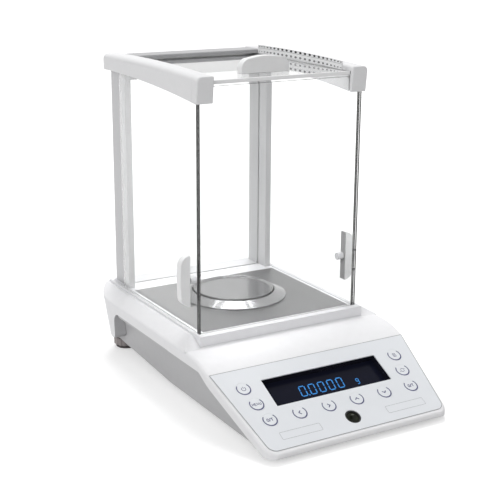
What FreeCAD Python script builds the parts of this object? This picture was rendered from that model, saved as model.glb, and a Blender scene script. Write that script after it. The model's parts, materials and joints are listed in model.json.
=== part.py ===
import FreeCAD, Part
import math
import os
from types import SimpleNamespace

import Sketcher

Vector = FreeCAD.Vector

# Analytical balance with a three-door glass draft shield. Millimetres, +Z up, -Y to the front.
# The origin is on the table, under the middle of the base.

SIZES = {
    # base
    "base_width": 210, "base_depth": 340, "front_taper": 12.5, "plinth_level": 69, "plinth_face": 10,
    "crown_drop": 2, "crown_inset": 13, "shoulder_fall": 8, "band_height": 10, "shell_wall": 3,
    "rear_corner": 42, "front_corner": 13, "edge_round": 3.5, "lip_gap": 4.2, "lip_level": 8.2, "lip_draft": 1.5,
    "front_reach": 137, "ramp_lead": 2, "ramp_run": 17, "skirt_lip": 3, "taper_round": 60,
    "skirt_level": 20, "skirt_start": 57, "skirt_lean": 85, "recess_round": 11, "recess_bend": 10,
    "rear_draft": 10, "side_draft": 2.7,
    "rear_slope_run": 8, "rear_slope_drop": 7, "deck_blend": 18.5,
    # lower tub
    "tub_level": 4.5, "tub_wall": 2.5, "tub_top_inset": 10, "tub_bottom_inset": 16.5, "flange_thickness": 2,
    "flange_inset": 1, "tub_rise": 9, "tub_flat": 190, "tub_side_radius": 180,
    # sloping panel
    "panel_angle": 26.4, "overlay_run": 81.5, "overlay_margin": 4.6, "overlay_side_margin": 2,
    "overlay_front_margin": 2.5, "overlay_thickness": 1, "overlay_proud": 0.2, "overlay_corner": 8,
    "display_width": 121, "display_from": 16.4, "display_height": 31, "bezel_depth": 6, "bezel_rim": 2,
    "lens_thickness": 1.5, "module_depth": 6, "key_width": 13.6, "key_stem": 6, "key_travel": 0.4,
    "key_gap": 0.12, "key_first": 21.8, "key_pitch": 18.7, "key_side": 24.5, "key_column_taper": 3.1,
    "key_row_inner": 14.7, "key_row_outer": 44.6, "stem_depth": 4.2, "board_thickness": 1.6,
    "level_width": 14.6, "level_from": 76.4, "level_wall": 1.2, "level_depth": 5.5, "vial_height": 3,
    # weighing chamber
    "plinth_margin": 17, "plinth_lead": 7, "plinth_rear_margin": 11, "fit_gap": 0.3, "plate_margin": 8.7,
    "plate_rear_margin": 47, "plate_thickness": 1, "plate_gap": 0.2, "plinth_web": 3, "plinth_rim": 6,
    "glass_thickness": 3.5, "glass_margin": 3, "front_rim": 1.5, "slot_depth": 5, "slot_gap": 0.1,
    "door_thickness": 3, "door_gap": 0.3, "door_inset": 5.9, "door_rear_margin": 30.2, "door_groove": 4,
    "door_height": 218, "front_glass_rise": 3, "plinth_wall": 14, "tongue_depth": 3, "glass_gap": 0.1,
    "vent_length": 28, "vent_width": 1.2, "vent_depth": 2, "vent_setback": 5.8, "vent_pitch": 38,
    "plate_bed": 0.1, "plate_lap": 3, "post_bite": 4, "post_round": 2,
    "post_inset": 6.5, "post_thickness": 6.2, "post_depth": 37.5, "post_socket": 6, "rear_gap": 2,
    "rear_glass_inset": 14, "rear_glass_bite": 1.5,
    # roof
    "arm_overhang": 0.5, "arm_width": 17, "arm_front_drop": 11, "arm_rear_drop": 1.6,
    "arm_front_rise": 12.4, "arm_rear_rise": 13.5, "arm_low_radius": 1630, "arm_top_radius": 2450,
    "cap_lead": 4.5, "cap_undercut": 2.5, "cap_length": 10, "cap_peg": 2.4, "cap_peg_length": 6,
    "cap_peg_inset": 9, "seam": 0.2, "arm_outer_round": 5,
    "arm_inner_round": 2, "roof_groove": 3.5, "roof_glass": 2.5, "roof_rise": 5.3, "roof_gap": 0.3,
    "crossbar_lead": 5, "crossbar_gap": 1.5, "crossbar_depth": 24, "crossbar_height": 14, "cover_thickness": 4,
    "strip_thickness": 1.2, "strip_rise": 3.1, "strip_drop": 5, "strip_start": 12, "strip_rear_margin": 0.5,
    "strip_upper_row": 1.5, "strip_lower_row": -3.5, "strip_slot_length": 6.2, "strip_slot_height": 2.3,
    "strip_slot_depth": 0.5,
    # handles
    "handle_height": 48, "handle_reach": 10, "handle_shoulder": 9.3, "handle_waist": 28,
    "handle_end_radius": 9.8, "handle_face_radius": 150, "handle_depth": 8, "handle_level": 45,
    "handle_back": 17, "roof_handle_side": 5, "roof_handle_shoulder": 13, "roof_handle_waist": 33,
    "roof_handle_end_radius": 9, "roof_handle_face_radius": 70,
    "stud_width": 4, "stud_gap": 0.1, "stud_bite": 4, "stud_root": 2, "knob_width": 7,
    "knob_length": 6, "roof_handle_width": 50,
    "roof_handle_height": 15, "trim_depth": 2.2, "trim_lap": 0.3, "roof_handle_back": 30, "bumper_width": 3,
    "bumper_spacing": 19,
    # pan and load cell
    "pan_width": 77, "pan_level": 7.5, "pan_rim": 2.3, "pan_sheet": 0.9, "ring_front_share": 0.816,
    "ring_width": 102, "ring_lip": 1.6,
    "ring_gap": 1.2, "ring_level": 6, "ring_sheet": 1, "ring_clear": 0.05, "pin_width": 6, "pin_gap": 0.05,
    "boss_width": 12, "cell_width": 40, "cell_length": 66, "cell_height": 22, "cell_level": 26,
    "standoff_height": 8.8, "standoff_width": 7, "standoff_inset": 8, "cell_lead": 14, "cell_foot": 16,
    "cell_head": 24, "cell_slit": 1.2, "cell_skin": 4, "cell_window": 8, "window_inset": 3, "cell_clear": 4,
    "base_lead": 30, "base_web": 2, "bolt_spacing": 24, "bolt_rim": 2, "bolt_head": 3, "magnet_bite": 2,
    "pot_offset": 3, "pot_well": 26, "pot_core": 18, "pot_floor": 8, "pot_core_drop": 2,
    "coil_outer": 24.8, "coil_inner": 19.6,
    "coil_lift": 12, "lever_gap": 2, "lever_thickness": 3, "lever_width": 10, "lever_foot": 8,
    "magnet_width": 40, "magnet_height": 22, "cell_base_thickness": 6, "cell_base_width": 120,
    "cell_base_length": 120, "cell_screw": 5, "receptor_hole": 30, "column_width": 8,
    # feet
    "front_foot_width": 24, "front_foot_spacing": 130, "front_foot_back": 50, "rear_foot_side": 27,
    "rear_foot_inset": 28, "wheel_width": 26, "wheel_height": 7, "pad_width": 22, "pad_height": 3.5,
    "screw_width": 6, "thread_gap": 0.05, "screw_length": 22, "foot_boss": 14,
    # fasteners and connectors
    "case_screw": 3, "case_screw_length": 15, "column_gap": 0.4, "overlap": 0.5, "case_head": 5.6,
    "case_head_height": 2, "inlet_width": 11, "inlet_length": 18,
    "port_width": 31, "port_height": 12, "port_depth": 12, "connector_level": 34, "connector_side": 60,
    "connector_recess": 1.5, "collar_margin": 3, "collar_setback": 4, "barrel_width": 6, "barrel_depth": 9,
    "barrel_pin": 2, "port_lap": 4, "port_lip": 2, "mouth_rim": 6, "mouth_height": 8, "mouth_depth": 6,
    "port_hole_gap": 0.1, "relief_gap": 1,
    "main_board_width": 120, "main_board_length": 56, "main_board_level": 16, "board_gap": 34, "board_edge": 6,
    "chip_inset": 16, "chip_width": 24, "chip_height": 2.5, "can_width": 10, "can_height": 12, "can_side": 20,
    "plug_side": 10, "plug_inset": 6, "plug_width": 20, "plug_depth": 8,
    "screw_side": 27, "screw_lead": 14, "screw_pitch": 70, "screw_rear_margin": 70, "case_head_set": 0.7,
    "case_shank": 12, "case_head_gap": 0.2,
}


class Size:
    """A measure with its spreadsheet formula and its value."""

    def __init__(self, formula, value):
        self.formula = formula
        self.value = value

    def __add__(self, other):
        return joined(self, "+", other, self.value + measure(other).value)

    def __radd__(self, other):
        return measure(other) + self

    def __sub__(self, other):
        return joined(self, "-", other, self.value - measure(other).value)

    def __rsub__(self, other):
        return measure(other) - self

    def __mul__(self, other):
        return joined(self, "*", other, self.value * measure(other).value)

    def __rmul__(self, other):
        return measure(other) * self

    def __truediv__(self, other):
        return joined(self, "/", other, self.value / measure(other).value)

    def __neg__(self):
        return -1 * self


def measure(number):
    return number if isinstance(number, Size) else Size(f"{number:.6g}", float(number))


def joined(first, sign, second, value):
    return Size(f"({first.formula} {sign} {measure(second).formula})", value)


def sine(angle):
    return Size(f"sin({angle.formula})", math.sin(math.radians(angle.value)))


def cosine(angle):
    return Size(f"cos({angle.formula})", math.cos(math.radians(angle.value)))


def tangent(angle):
    return Size(f"tan({angle.formula})", math.tan(math.radians(angle.value)))


doc = FreeCAD.newDocument("Balance")
sheet = doc.addObject("Spreadsheet::Sheet", "Sheet")
for row, (name, number) in enumerate(SIZES.items(), start=1):
    sheet.set(f"A{row}", name)
    sheet.set(f"B{row}", str(number))
    sheet.setAlias(f"B{row}", name)
doc.recompute()
s = SimpleNamespace(**{name: Size(f"Sheet.{name}", float(sheet.get(name))) for name in SIZES})

nodes = {}
LEAST_ROUND = 1  # smallest corner of an inner wall
SLOT_COUNT = 22  # slots in each row of the vent strip


# ---- building helpers ----

def bind(feature, prop, size):
    feature.setExpression(prop, measure(size).formula)


def bind_place(feature, x, y, z):
    for axis, size in (("x", x), ("y", y), ("z", z)):
        bind(feature, f"Placement.Base.{axis}", size)


def node(label, feature):
    """Name a finished sub-part."""
    feature.Label = label
    nodes[label] = feature
    return feature


def block(x, y, z):
    """Box between two limits along each axis."""
    box = doc.addObject("Part::Box", "Block")
    bind(box, "Length", measure(x[1]) - x[0])
    bind(box, "Width", measure(y[1]) - y[0])
    bind(box, "Height", measure(z[1]) - z[0])
    bind_place(box, x[0], y[0], z[0])
    return box


TURNS = {"X": (Vector(0, 1, 0), 90), "Y": (Vector(1, 0, 0), -90), "Z": (Vector(0, 0, 1), 0)}


def rod(axis, radius, start, length, centre):
    """Cylinder along an axis, from start, with its centre given by the other two coordinates."""
    body = doc.addObject("Part::Cylinder", "Rod")
    body.Placement = FreeCAD.Placement(Vector(), FreeCAD.Rotation(*TURNS[axis]))
    bind(body, "Radius", radius)
    bind(body, "Height", length)
    place = list(centre)
    place.insert("XYZ".index(axis), start)
    bind_place(body, *place)
    return body


def combine(kind, features):
    feature = doc.addObject(kind, "Combined")
    feature.Shapes = features
    return feature


def fused(*features):
    return combine("Part::MultiFuse", list(features))


def common(*features):
    return combine("Part::MultiCommon", list(features))


def cut(base, *tools):
    feature = doc.addObject("Part::Cut", "Cut")
    feature.Base = base
    feature.Tool = tools[0] if len(tools) == 1 else fused(*tools)
    return feature


def group(*features):
    feature = doc.addObject("Part::Compound", "Group")
    feature.Links = list(features)
    return feature


def mirrored(feature):
    """Copy on the other side of the middle plane."""
    copy = doc.addObject("Part::Mirroring", "Mirrored")
    copy.Source = feature
    copy.Normal = Vector(1, 0, 0)
    return copy


SKETCH_TURNS = {
    "XY": FreeCAD.Rotation(),
    "YZ": FreeCAD.Rotation(Vector(1, 1, 1), 120),
    "XZ": FreeCAD.Rotation(Vector(1, 0, 0), 90),
}


def flat_sketch(outline):
    """Closed sketch through (u, v) corners; a third item is the radius of the arc to the next corner,
    positive where the arc bulges to the right of the way along, negative to the left."""
    sketch = doc.addObject("Sketcher::SketchObject", "Sketch")
    count = len(outline)
    spots = [Vector(measure(p[0]).value, measure(p[1]).value, 0) for p in outline]
    for i, corner in enumerate(outline):
        start, end = spots[i], spots[(i + 1) % count]
        if len(corner) == 3:
            sketch.addGeometry(arc_between(start, end, measure(corner[2]).value))
        else:
            sketch.addGeometry(Part.LineSegment(start, end))
    for i, corner in enumerate(outline):
        after = (i + 1) % count
        own_end = 2 if len(corner) == 2 or measure(corner[2]).value > 0 else 1
        next_start = 1 if len(outline[after]) == 2 or measure(outline[after][2]).value > 0 else 2
        sketch.addConstraint(Sketcher.Constraint("Coincident", i, own_end, after, next_start))
        own_start = 3 - own_end
        for kind, size, number in (("DistanceX", corner[0], spots[i].x), ("DistanceY", corner[1], spots[i].y)):
            place = sketch.addConstraint(Sketcher.Constraint(kind, i, own_start, number))
            bind(sketch, f"Constraints[{place}]", size)
        if len(corner) == 3:
            radius = measure(corner[2])
            size = radius if radius.value > 0 else -radius
            place = sketch.addConstraint(Sketcher.Constraint("Radius", i, size.value))
            bind(sketch, f"Constraints[{place}]", size)
    return sketch


def arc_between(start, end, radius):
    """Arc shorter than half a turn; counter-clockwise for a positive radius."""
    chord = end - start
    half = chord.Length / 2
    depth = math.sqrt(radius * radius - half * half)
    side = Vector(-chord.y, chord.x, 0).normalize() * (depth if radius > 0 else -depth)
    centre = (start + end) / 2 + side
    first, last = (start, end) if radius > 0 else (end, start)
    angles = [math.atan2(p.y - centre.y, p.x - centre.x) for p in (first, last)]
    circle = Part.Circle(centre, Vector(0, 0, 1), abs(radius))
    return Part.ArcOfCircle(circle, *angles)


def prism(plane, outline, low, high):
    """Outline drawn in a plane and carried between two limits along the third axis."""
    sketch = flat_sketch(outline)
    sketch.Placement = FreeCAD.Placement(Vector(), SKETCH_TURNS[plane])
    axis = {"XY": "z", "YZ": "x", "XZ": "y"}[plane]
    bind(sketch, f"Placement.Base.{axis}", high if plane == "XZ" else low)
    return extruded(sketch, measure(high) - low)


def extruded(sketch, length):
    body = doc.addObject("Part::Extrusion", "Prism")
    body.Base = sketch
    body.DirMode = "Normal"
    body.Solid = True
    bind(body, "LengthFwd", length)
    return body


def turned(outline, x, y):
    """Outline of (radius, level) corners turned about the upright axis through x and y."""
    sketch = flat_sketch(outline)
    sketch.Placement = FreeCAD.Placement(Vector(), SKETCH_TURNS["XZ"])
    body = doc.addObject("Part::Revolution", "Turned")
    body.Source = sketch
    body.Axis = Vector(0, 0, 1)
    body.Solid = True
    bind_place(body, x, y, 0)
    return body


def rounded(base, spots, radius):
    """Fillet on the edges that pass nearest to the given points, taken in the same order."""
    doc.recompute()
    edges = base.Shape.Edges
    picked = []
    for spot in spots:
        vertex = Part.Vertex(*[measure(c).value for c in spot])
        gaps = [edge.distToShape(vertex)[0] for edge in edges]
        number = gaps.index(min(gaps)) + 1
        if number not in picked:
            picked.append(number)
    fillet = doc.addObject("Part::Fillet", "Rounded")
    fillet.Base = base
    fillet.Edges = [(number, measure(radius).value, measure(radius).value) for number in picked]
    return fillet


def span(side, inner, outer):
    """Limits along X of a slab between two distances from the middle, on one side."""
    return (inner, outer) if side > 0 else (-measure(outer), -measure(inner))


# ---- levels and places worked out from the driving sizes ----

top = s.plinth_level
deck = top - s.plinth_face
crown = top - s.crown_drop
slope_foot = crown - s.rear_slope_drop
shoulder = crown - s.shoulder_fall
band_low = shoulder - s.band_height
front = -s.base_depth / 2
rear = s.base_depth / 2
half_base = s.base_width / 2
half_front = half_base - s.front_taper
half_crown = half_base - s.crown_inset
half_plinth = half_base - s.plinth_margin
glass_front = front + s.front_reach
plinth_front = glass_front - s.plinth_lead
plinth_rear = rear - s.plinth_rear_margin
door_plane = half_plinth - s.door_inset

panel_tan = tangent(s.panel_angle)
panel_cos = cosine(s.panel_angle)
panel_sin = sine(s.panel_angle)
overlay_front = front + s.overlay_margin
overlay_back = overlay_front + s.overlay_run
fold = front + (deck - s.lip_level) / panel_tan
lip_top = s.lip_level
back_level = deck - (fold - overlay_back) * panel_tan
overlay_length = s.overlay_run / panel_cos
underside_front = fold - (band_low - s.lip_gap) / panel_tan


def panel_point(t, n):
    """Y and Z of a point t down the panel from the overlay's back edge and n out of its surface."""
    return (overlay_back - t * panel_cos - n * panel_sin, back_level - t * panel_sin + n * panel_cos)


def on_panel(feature, x, t, n):
    """Turn a feature to the panel's slope; its own Y runs up the slope, its Z out of the panel."""
    feature.Placement = FreeCAD.Placement(Vector(), FreeCAD.Rotation(Vector(1, 0, 0), s.panel_angle.value))
    bind(feature, "Placement.Rotation.Angle", s.panel_angle)
    bind_place(feature, x, *panel_point(t, n))
    return feature


def panel_block(x, t, n):
    box = doc.addObject("Part::Box", "Block")
    bind(box, "Length", measure(x[1]) - x[0])
    bind(box, "Width", measure(t[1]) - t[0])
    bind(box, "Height", measure(n[1]) - n[0])
    return on_panel(box, x[0], t[1], n[0])


def panel_rod(radius, x, t, n):
    body = doc.addObject("Part::Cylinder", "Rod")
    bind(body, "Radius", radius)
    bind(body, "Height", measure(n[1]) - n[0])
    return on_panel(body, x, t, n[0])


def panel_prism(outline, n):
    body = extruded(on_panel(flat_sketch(outline), 0, 0, n[0]), measure(n[1]) - n[0])
    return body


# ---- base shells ----

def plan_outline(inset):
    """Base seen from above, drawn in by an inset."""
    return [
        (half_base - inset, rear - inset),
        (inset - half_base, rear - inset),
        (inset - half_base, overlay_back),
        (inset - half_front, front + inset),
        (half_front - inset, front + inset),
        (half_base - inset, overlay_back),
    ]


def plan_prism(inset, low, high):
    """Upright prism on the base's plan, with its four outer corners rounded."""
    body = prism("XY", plan_outline(inset), low, high)
    middle = (measure(low) + high) / 2
    rear_spots = [(sign * (half_base - inset), rear - inset, middle) for sign in (-1, 1)]
    taper_spots = [(sign * (half_base - inset), overlay_back, middle) for sign in (-1, 1)]
    front_spots = [(sign * (half_front - inset), front + inset, middle) for sign in (-1, 1)]
    front_round = s.front_corner - inset
    if front_round.value < LEAST_ROUND:
        front_round = measure(LEAST_ROUND)
    body = rounded(rounded(body, rear_spots, s.rear_corner - inset), front_spots, front_round)
    return rounded(body, taper_spots, s.taper_round)


def rear_plan(inset, low, high):
    """Base seen from above, upright over the slope's foot and leaning in towards the rear below it."""
    lean_top = joint_section(inset, 0)
    sections = [section_at(lean_top, slope_foot), section_at(joint_section(inset, 1), s.skirt_level)]
    leaning = doc.addObject("Part::Loft", "Lofted")
    leaning.Sections = sections
    leaning.Solid = True
    leaning.Ruled = True
    parts = [leaning, prism("XY", lean_top, slope_foot, high)]
    if measure(low).value < s.skirt_level.value:
        parts.append(prism("XY", joint_section(inset, 1), low, s.skirt_level))
    return fused(*parts)


def section_at(outline, level):
    sketch = flat_sketch(outline)
    bind(sketch, "Placement.Base.z", level)
    return sketch


def joint_section(inset, share):
    """Rear part's outline; share is 0 at the slope's foot and 1 at the skirt's lower edge."""
    radius = s.rear_corner - inset
    far_x = half_base - inset - s.side_draft * share
    far_y = rear - inset - s.rear_draft * share
    return [
        (half_base - inset, front), (far_x, far_y - radius, radius), (far_x - radius, far_y),
        (radius - far_x, far_y, radius), (-far_x, far_y - radius), (inset - half_base, front),
    ]


def rear_at(level):
    """Y of the rear face at a level between the skirt's edge and the slope's foot."""
    return rear - s.rear_draft * (slope_foot - level) / (slope_foot - s.skirt_level)


def make_upper_housing():
    skirt_y = rear - s.skirt_start
    ramp_front = plinth_front - s.ramp_lead
    blend_radius = s.deck_blend / tangent(s.panel_angle / 2)
    nose_side = [
        (ramp_front + s.ramp_run * 2, band_low),
        (ramp_front + s.ramp_run * 2, deck),
        (fold + s.deck_blend, deck, blend_radius),
        (fold - s.deck_blend * panel_cos, deck - s.deck_blend * panel_sin),
        (front, lip_top),
        (front + s.lip_draft, s.lip_gap),
        (underside_front, s.lip_gap),
        (fold, band_low),
    ]
    nose_body = common(prism("YZ", nose_side, -half_base, half_base), plan_prism(0, 0, top))
    bend = s.front_corner / 4
    deck_y = fold + s.deck_blend * 2
    spots = [(half_base, deck_y, deck), (half_front - bend, front + bend, lip_top), (0, front, lip_top),
             (bend - half_front, front + bend, lip_top), (-half_base, deck_y, deck)]
    nose_body = rounded(nose_body, spots, s.edge_round)
    skirt_end = skirt_y + (band_low - s.skirt_level - s.skirt_lip) / tangent(s.skirt_lean)
    back_side = [
        (rear, s.skirt_level),
        (rear, slope_foot),
        (rear - s.rear_slope_run, crown),
        (ramp_front + s.ramp_run, crown),
        (ramp_front, deck),
        (ramp_front, band_low),
        (skirt_y - s.recess_bend, band_low, -s.recess_round),
        (skirt_y + s.recess_bend * cosine(s.skirt_lean), band_low - s.recess_bend * sine(s.skirt_lean)),
        (skirt_end, s.skirt_level + s.skirt_lip),
        (skirt_end + s.skirt_lip, s.skirt_level),
    ]
    across = prism("XZ", [
        (-half_base, 0), (half_base, 0), (half_base, shoulder), (half_crown, crown), (-half_crown, crown),
        (-half_base, shoulder),
    ], front, rear)
    across = rounded(across, [(sign * half_base, 0, shoulder) for sign in (-1, 1)], s.edge_round)
    back_body = common(prism("YZ", back_side, -half_base, half_base), rear_plan(0, s.skirt_level, top), across)
    outer = fused(nose_body, back_body)
    wall_rise = s.shell_wall / panel_cos
    inner_top = deck - s.shell_wall
    nose = underside_front + 1
    inner_side = [
        (rear, 0),
        (rear, inner_top),
        (fold, inner_top),
        (fold, deck - wall_rise - s.overlay_thickness),
        (nose, deck - (fold - nose) * panel_tan - wall_rise - s.overlay_thickness),
        (nose, 0),
    ]
    inner = common(prism("YZ", inner_side, -half_base, half_base), plan_prism(s.shell_wall, 0, top),
                   rear_plan(s.shell_wall, 0, top))
    pocket = block((-half_plinth - s.fit_gap, half_plinth + s.fit_gap),
                   (plinth_front - s.fit_gap, plinth_rear + s.fit_gap), (deck, top + 1))
    service = block((-s.cell_base_width / 2, s.cell_base_width / 2), (glass_front + 20, plinth_rear - 20),
                    (inner_top - 1, deck + 1))
    grooves = [block(span(sign, door_plane - s.door_gap, door_plane + s.door_thickness + s.door_gap),
                     (plinth_rear - 1, rear + 1), (top - s.door_groove, top + 1)) for sign in (-1, 1)]
    openings = [*grooves, pocket, service, display_hole(), level_hole(),
                overlay_solid(s.plate_gap, s.overlay_proud + 1)]
    openings += [panel_rod(s.key_stem / 2 + 0.5, x, t, (-8, 1)) for x, t in key_places().values()]
    openings += rear_holes()
    edge = [(skirt_y - s.recess_bend, band_low, -s.recess_round),
            (skirt_y + s.recess_bend * cosine(s.skirt_lean), band_low - s.recess_bend * sine(s.skirt_lean)),
            (skirt_end, s.skirt_level + s.skirt_lip), (skirt_end + s.skirt_lip, s.skirt_level)]
    wall = s.shell_wall
    web_side = [*edge, (edge[3][0] + wall, edge[3][1]), (edge[2][0] + wall, edge[2][1]),
                (edge[1][0] + wall, edge[1][1]), (edge[1][0] + wall, band_low)]
    web = cut(common(prism("YZ", web_side, -half_base, half_base), back_body), tub_room())
    shell = fused(cut(outer, inner, *openings), web)
    columns = []
    for place in screw_places():
        low = floor_under(place) + s.tub_wall + s.column_gap
        column = rod("Z", s.column_width / 2, low, inner_top - low + s.overlap, place)
        columns.append(cut(column, rod("Z", s.case_screw / 2, low - 1, s.case_screw_length, place)))
    return node("upper_housing", fused(shell, *columns))


def tub_room():
    """Room for the tub between the skirt's webs."""
    low_x = half_base - s.tub_bottom_inset + s.fit_gap
    top_x = half_base - s.tub_top_inset + s.fit_gap
    return prism("XZ", [(-low_x, s.tub_level), (low_x, s.tub_level, -s.tub_side_radius), (top_x, band_low),
                        (top_x, top), (-top_x, top), (-top_x, band_low, -s.tub_side_radius)], front, rear)


def screw_places():
    half = half_base - s.screw_side
    rows = (fold + s.screw_lead, fold + s.screw_lead + s.screw_pitch, rear - s.screw_rear_margin)
    return [(sign * half, y) for y in rows for sign in (-1, 1)]


def overlay_outline(gap):
    """Trapezoid of the keypad overlay, wider at the back, with room all round."""
    return [
        (half_base - s.overlay_side_margin + gap, gap),
        (s.overlay_side_margin - half_base - gap, gap),
        (s.overlay_front_margin - half_front - gap, -overlay_length - gap),
        (half_front - s.overlay_front_margin + gap, -overlay_length - gap),
    ]


def overlay_solid(gap, rise):
    sheet_low = s.overlay_proud - s.overlay_thickness
    body = panel_prism(overlay_outline(gap), (sheet_low, rise))
    spots = [(sign * (half_front - s.overlay_front_margin + gap), *panel_point(overlay_length + gap, 0))
             for sign in (-1, 1)]
    return rounded(body, spots, s.overlay_corner)


def key_places():
    """Middle of each key: distance from the middle plane and distance down the panel."""
    names = {}
    for side, sign in (("left", -1), ("right", 1)):
        for number, key in enumerate(("upper", "middle", "lower")):
            x = sign * (half_base - s.key_side - s.key_column_taper * number)
            names[f"{side}_{key}_key"] = (x, s.key_first + s.key_pitch * number)
    row = s.key_first + s.key_pitch * 2
    for name, x in (("back_key", -s.key_row_outer), ("forward_key", -s.key_row_inner),
                    ("up_key", s.key_row_inner), ("down_key", s.key_row_outer)):
        names[name] = (x, row)
    return names


def display_hole():
    return panel_block((-s.display_width / 2 - s.bezel_rim, s.display_width / 2 + s.bezel_rim),
                       (s.display_from - s.bezel_rim, s.display_from + s.display_height + s.bezel_rim),
                       (-20, s.overlay_proud - s.overlay_thickness + 0.1))


def level_hole():
    return panel_rod(s.level_width / 2, 0, s.level_from, (-20, 2))


def make_overlay():
    window = panel_block((-s.display_width / 2, s.display_width / 2),
                         (s.display_from, s.display_from + s.display_height), (-3, 3))
    holes = [panel_rod(s.key_width / 2 + s.key_gap, x, t, (-3, 3)) for x, t in key_places().values()]
    return node("panel_overlay", cut(overlay_solid(0, s.overlay_proud), window, level_hole(), *holes))


def make_keys():
    low = s.overlay_proud - s.overlay_thickness
    for name, (x, t) in key_places().items():
        cap = panel_rod(s.key_width / 2, x, t, (low + s.key_travel + 0.05, s.overlay_proud))
        stem = panel_rod(s.key_stem / 2, x, t, (-s.stem_depth, low + s.key_travel + 0.1))
        node(name, fused(cap, stem))


def make_display():
    low = s.overlay_proud - s.overlay_thickness
    half = s.display_width / 2
    t_low, t_high = s.display_from, s.display_from + s.display_height
    rim = s.bezel_rim - 0.1
    body = panel_block((-half - rim, half + rim), (t_low - rim, t_high + rim), (low - s.bezel_depth, low))
    hole = panel_block((-half, half), (t_low, t_high), (-20, 3))
    bezel = node("display_bezel", cut(body, hole))
    lens_top = low - s.bezel_depth
    lens_low = lens_top - s.lens_thickness
    lens = panel_block((-half - rim, half + rim), (t_low - rim, t_high + rim), (lens_low, lens_top))
    node("display_window", lens)
    module_low = lens_low - s.module_depth
    node("display_module", panel_block((-half - 1, half + 1), (t_low - 1, t_high + 1), (module_low, lens_low)))
    return bezel


def make_keypad_board():
    dome_top = -s.stem_depth - s.key_travel - 0.1
    board_top = dome_top - 1
    board_low = board_top - s.board_thickness
    t_low, t_high = s.display_from - 4, s.key_first + s.key_pitch * 2 + 6
    half = half_base - s.key_side + s.board_edge
    plate = panel_block((-half, half), (t_low, t_high), (board_low, board_top))
    gap = s.bezel_rim + 0.5
    window = panel_block((-s.display_width / 2 - gap, s.display_width / 2 + gap),
                         (s.display_from - 10, s.display_from + s.display_height + gap), (-20, 3))
    domes = [panel_rod(3, x, t, (board_top - 0.1, dome_top)) for x, t in key_places().values()]
    posts = [panel_rod(2, sign * (half - 4), t, (board_top - 0.1, -s.shell_wall - s.overlay_thickness))
             for sign in (-1, 1) for t in (t_low + 30, t_high - 10)]
    node("keypad_board", fused(cut(plate, window), *domes, *posts))


def make_level():
    radius = s.level_width / 2 - 0.05
    low = -s.level_depth
    cup = cut(panel_rod(radius, 0, s.level_from, (low, -0.4)),
              panel_rod(radius - s.level_wall, 0, s.level_from, (low + s.level_wall, 1)))
    node("level_holder", cup)
    node("level_vial", panel_rod(radius - s.level_wall - 0.05, 0, s.level_from,
                                 (low + s.level_wall, low + s.level_wall + s.vial_height)))


def make_lower_housing():
    skirt_y = rear - s.skirt_start
    tub_front = fold - (band_low - s.tub_level) / panel_tan
    flat_end = front + s.tub_flat
    outer_side = [
        (tub_rear, band_low),
        (fold, band_low),
        (tub_front, s.tub_level),
        (flat_end, s.tub_level),
        (tub_rear, s.tub_level + s.tub_rise),
    ]
    top_x = half_base - s.tub_top_inset
    low_x = half_base - s.tub_bottom_inset
    across = [(-low_x, s.tub_level), (low_x, s.tub_level, -s.tub_side_radius), (top_x, band_low),
              (top_x, top), (-top_x, top), (-top_x, band_low, -s.tub_side_radius)]
    outer = common(prism("YZ", outer_side, -half_base, half_base), prism("XZ", across, front, rear),
                   plan_prism(s.tub_top_inset - 2, 0, top), rear_outline(s.shell_wall + s.fit_gap))
    wall = s.tub_wall
    floor = s.tub_level + wall
    inner_rise = wall * 1.6
    inner_side = [
        (tub_rear - wall, top), (tub_front + inner_rise * 3, top),
        (tub_front + inner_rise * 3, floor), (flat_end, floor), (tub_rear - wall, floor + s.tub_rise),
    ]
    inner_across = [(-low_x + wall, s.tub_level), (low_x - wall, s.tub_level, -s.tub_side_radius),
                    (top_x - wall, band_low), (top_x - wall, top), (wall - top_x, top),
                    (wall - top_x, band_low, -s.tub_side_radius)]
    inner = common(prism("YZ", inner_side, -half_base, half_base),
                   prism("XZ", inner_across, front, rear), plan_prism(s.tub_top_inset + wall - 2, 0, top),
                   rear_outline(s.shell_wall + s.fit_gap + wall))
    drop = s.flange_thickness
    rim_side = [
        (skirt_y - s.recess_bend, band_low), (fold, band_low), (underside_front + 6, s.lip_gap + 6 * panel_tan),
        (underside_front + 6 + drop / panel_tan, s.lip_gap + 6 * panel_tan),
        (fold, band_low - drop), (skirt_y - s.recess_bend - 1, band_low - drop),
    ]
    rim = common(prism("YZ", rim_side, -half_base, half_base), plan_prism(s.flange_inset, 0, top))
    shell = cut(fused(outer, rim), inner)
    bosses = [rod("Z", s.foot_boss / 2, floor_under(place) + s.overlap, s.screw_length, place)
              for place in rear_feet()]
    standoffs = []
    for places, level in ((cell_base_corners(), cell_base_low), (board_corners(), s.main_board_level)):
        for place in places:
            low = floor_under(place) + s.overlap
            standoffs.append(rod("Z", s.standoff_width / 2, low, level - low, place))
    bored = [rod("Z", s.screw_width / 2 + s.thread_gap, 0, s.screw_length + 12, (x, y))
             for x, y in rear_feet()]
    gap = s.case_head_gap
    holes = [rod("Z", s.case_screw / 2 + gap, 0, floor + s.tub_rise * 2, place) for place in screw_places()]
    sinks = [rod("Z", s.case_head / 2 + gap, 0, head_top_at(place), place) for place in screw_places()]
    reliefs = []
    x = half_base - s.connector_side
    low = s.connector_level - s.inlet_width / 2 - s.collar_margin - s.relief_gap
    for place, half in ((-x, s.inlet_width / 2 + s.collar_margin + s.relief_gap),
                        (x, s.port_width / 2 + s.port_lap + s.relief_gap)):
        reliefs.append(block((place - half, place + half), (tub_rear - wall - 1, tub_rear + 1), (low, top)))
    return node("lower_housing", cut(fused(shell, *bosses, *standoffs), *bored, *holes, *sinks, *reliefs))


def rear_outline(inset):
    """Upright body inside the skirt's lower edge, set in by a gap."""
    return prism("XY", joint_section(inset, 1), 0, top)


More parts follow.
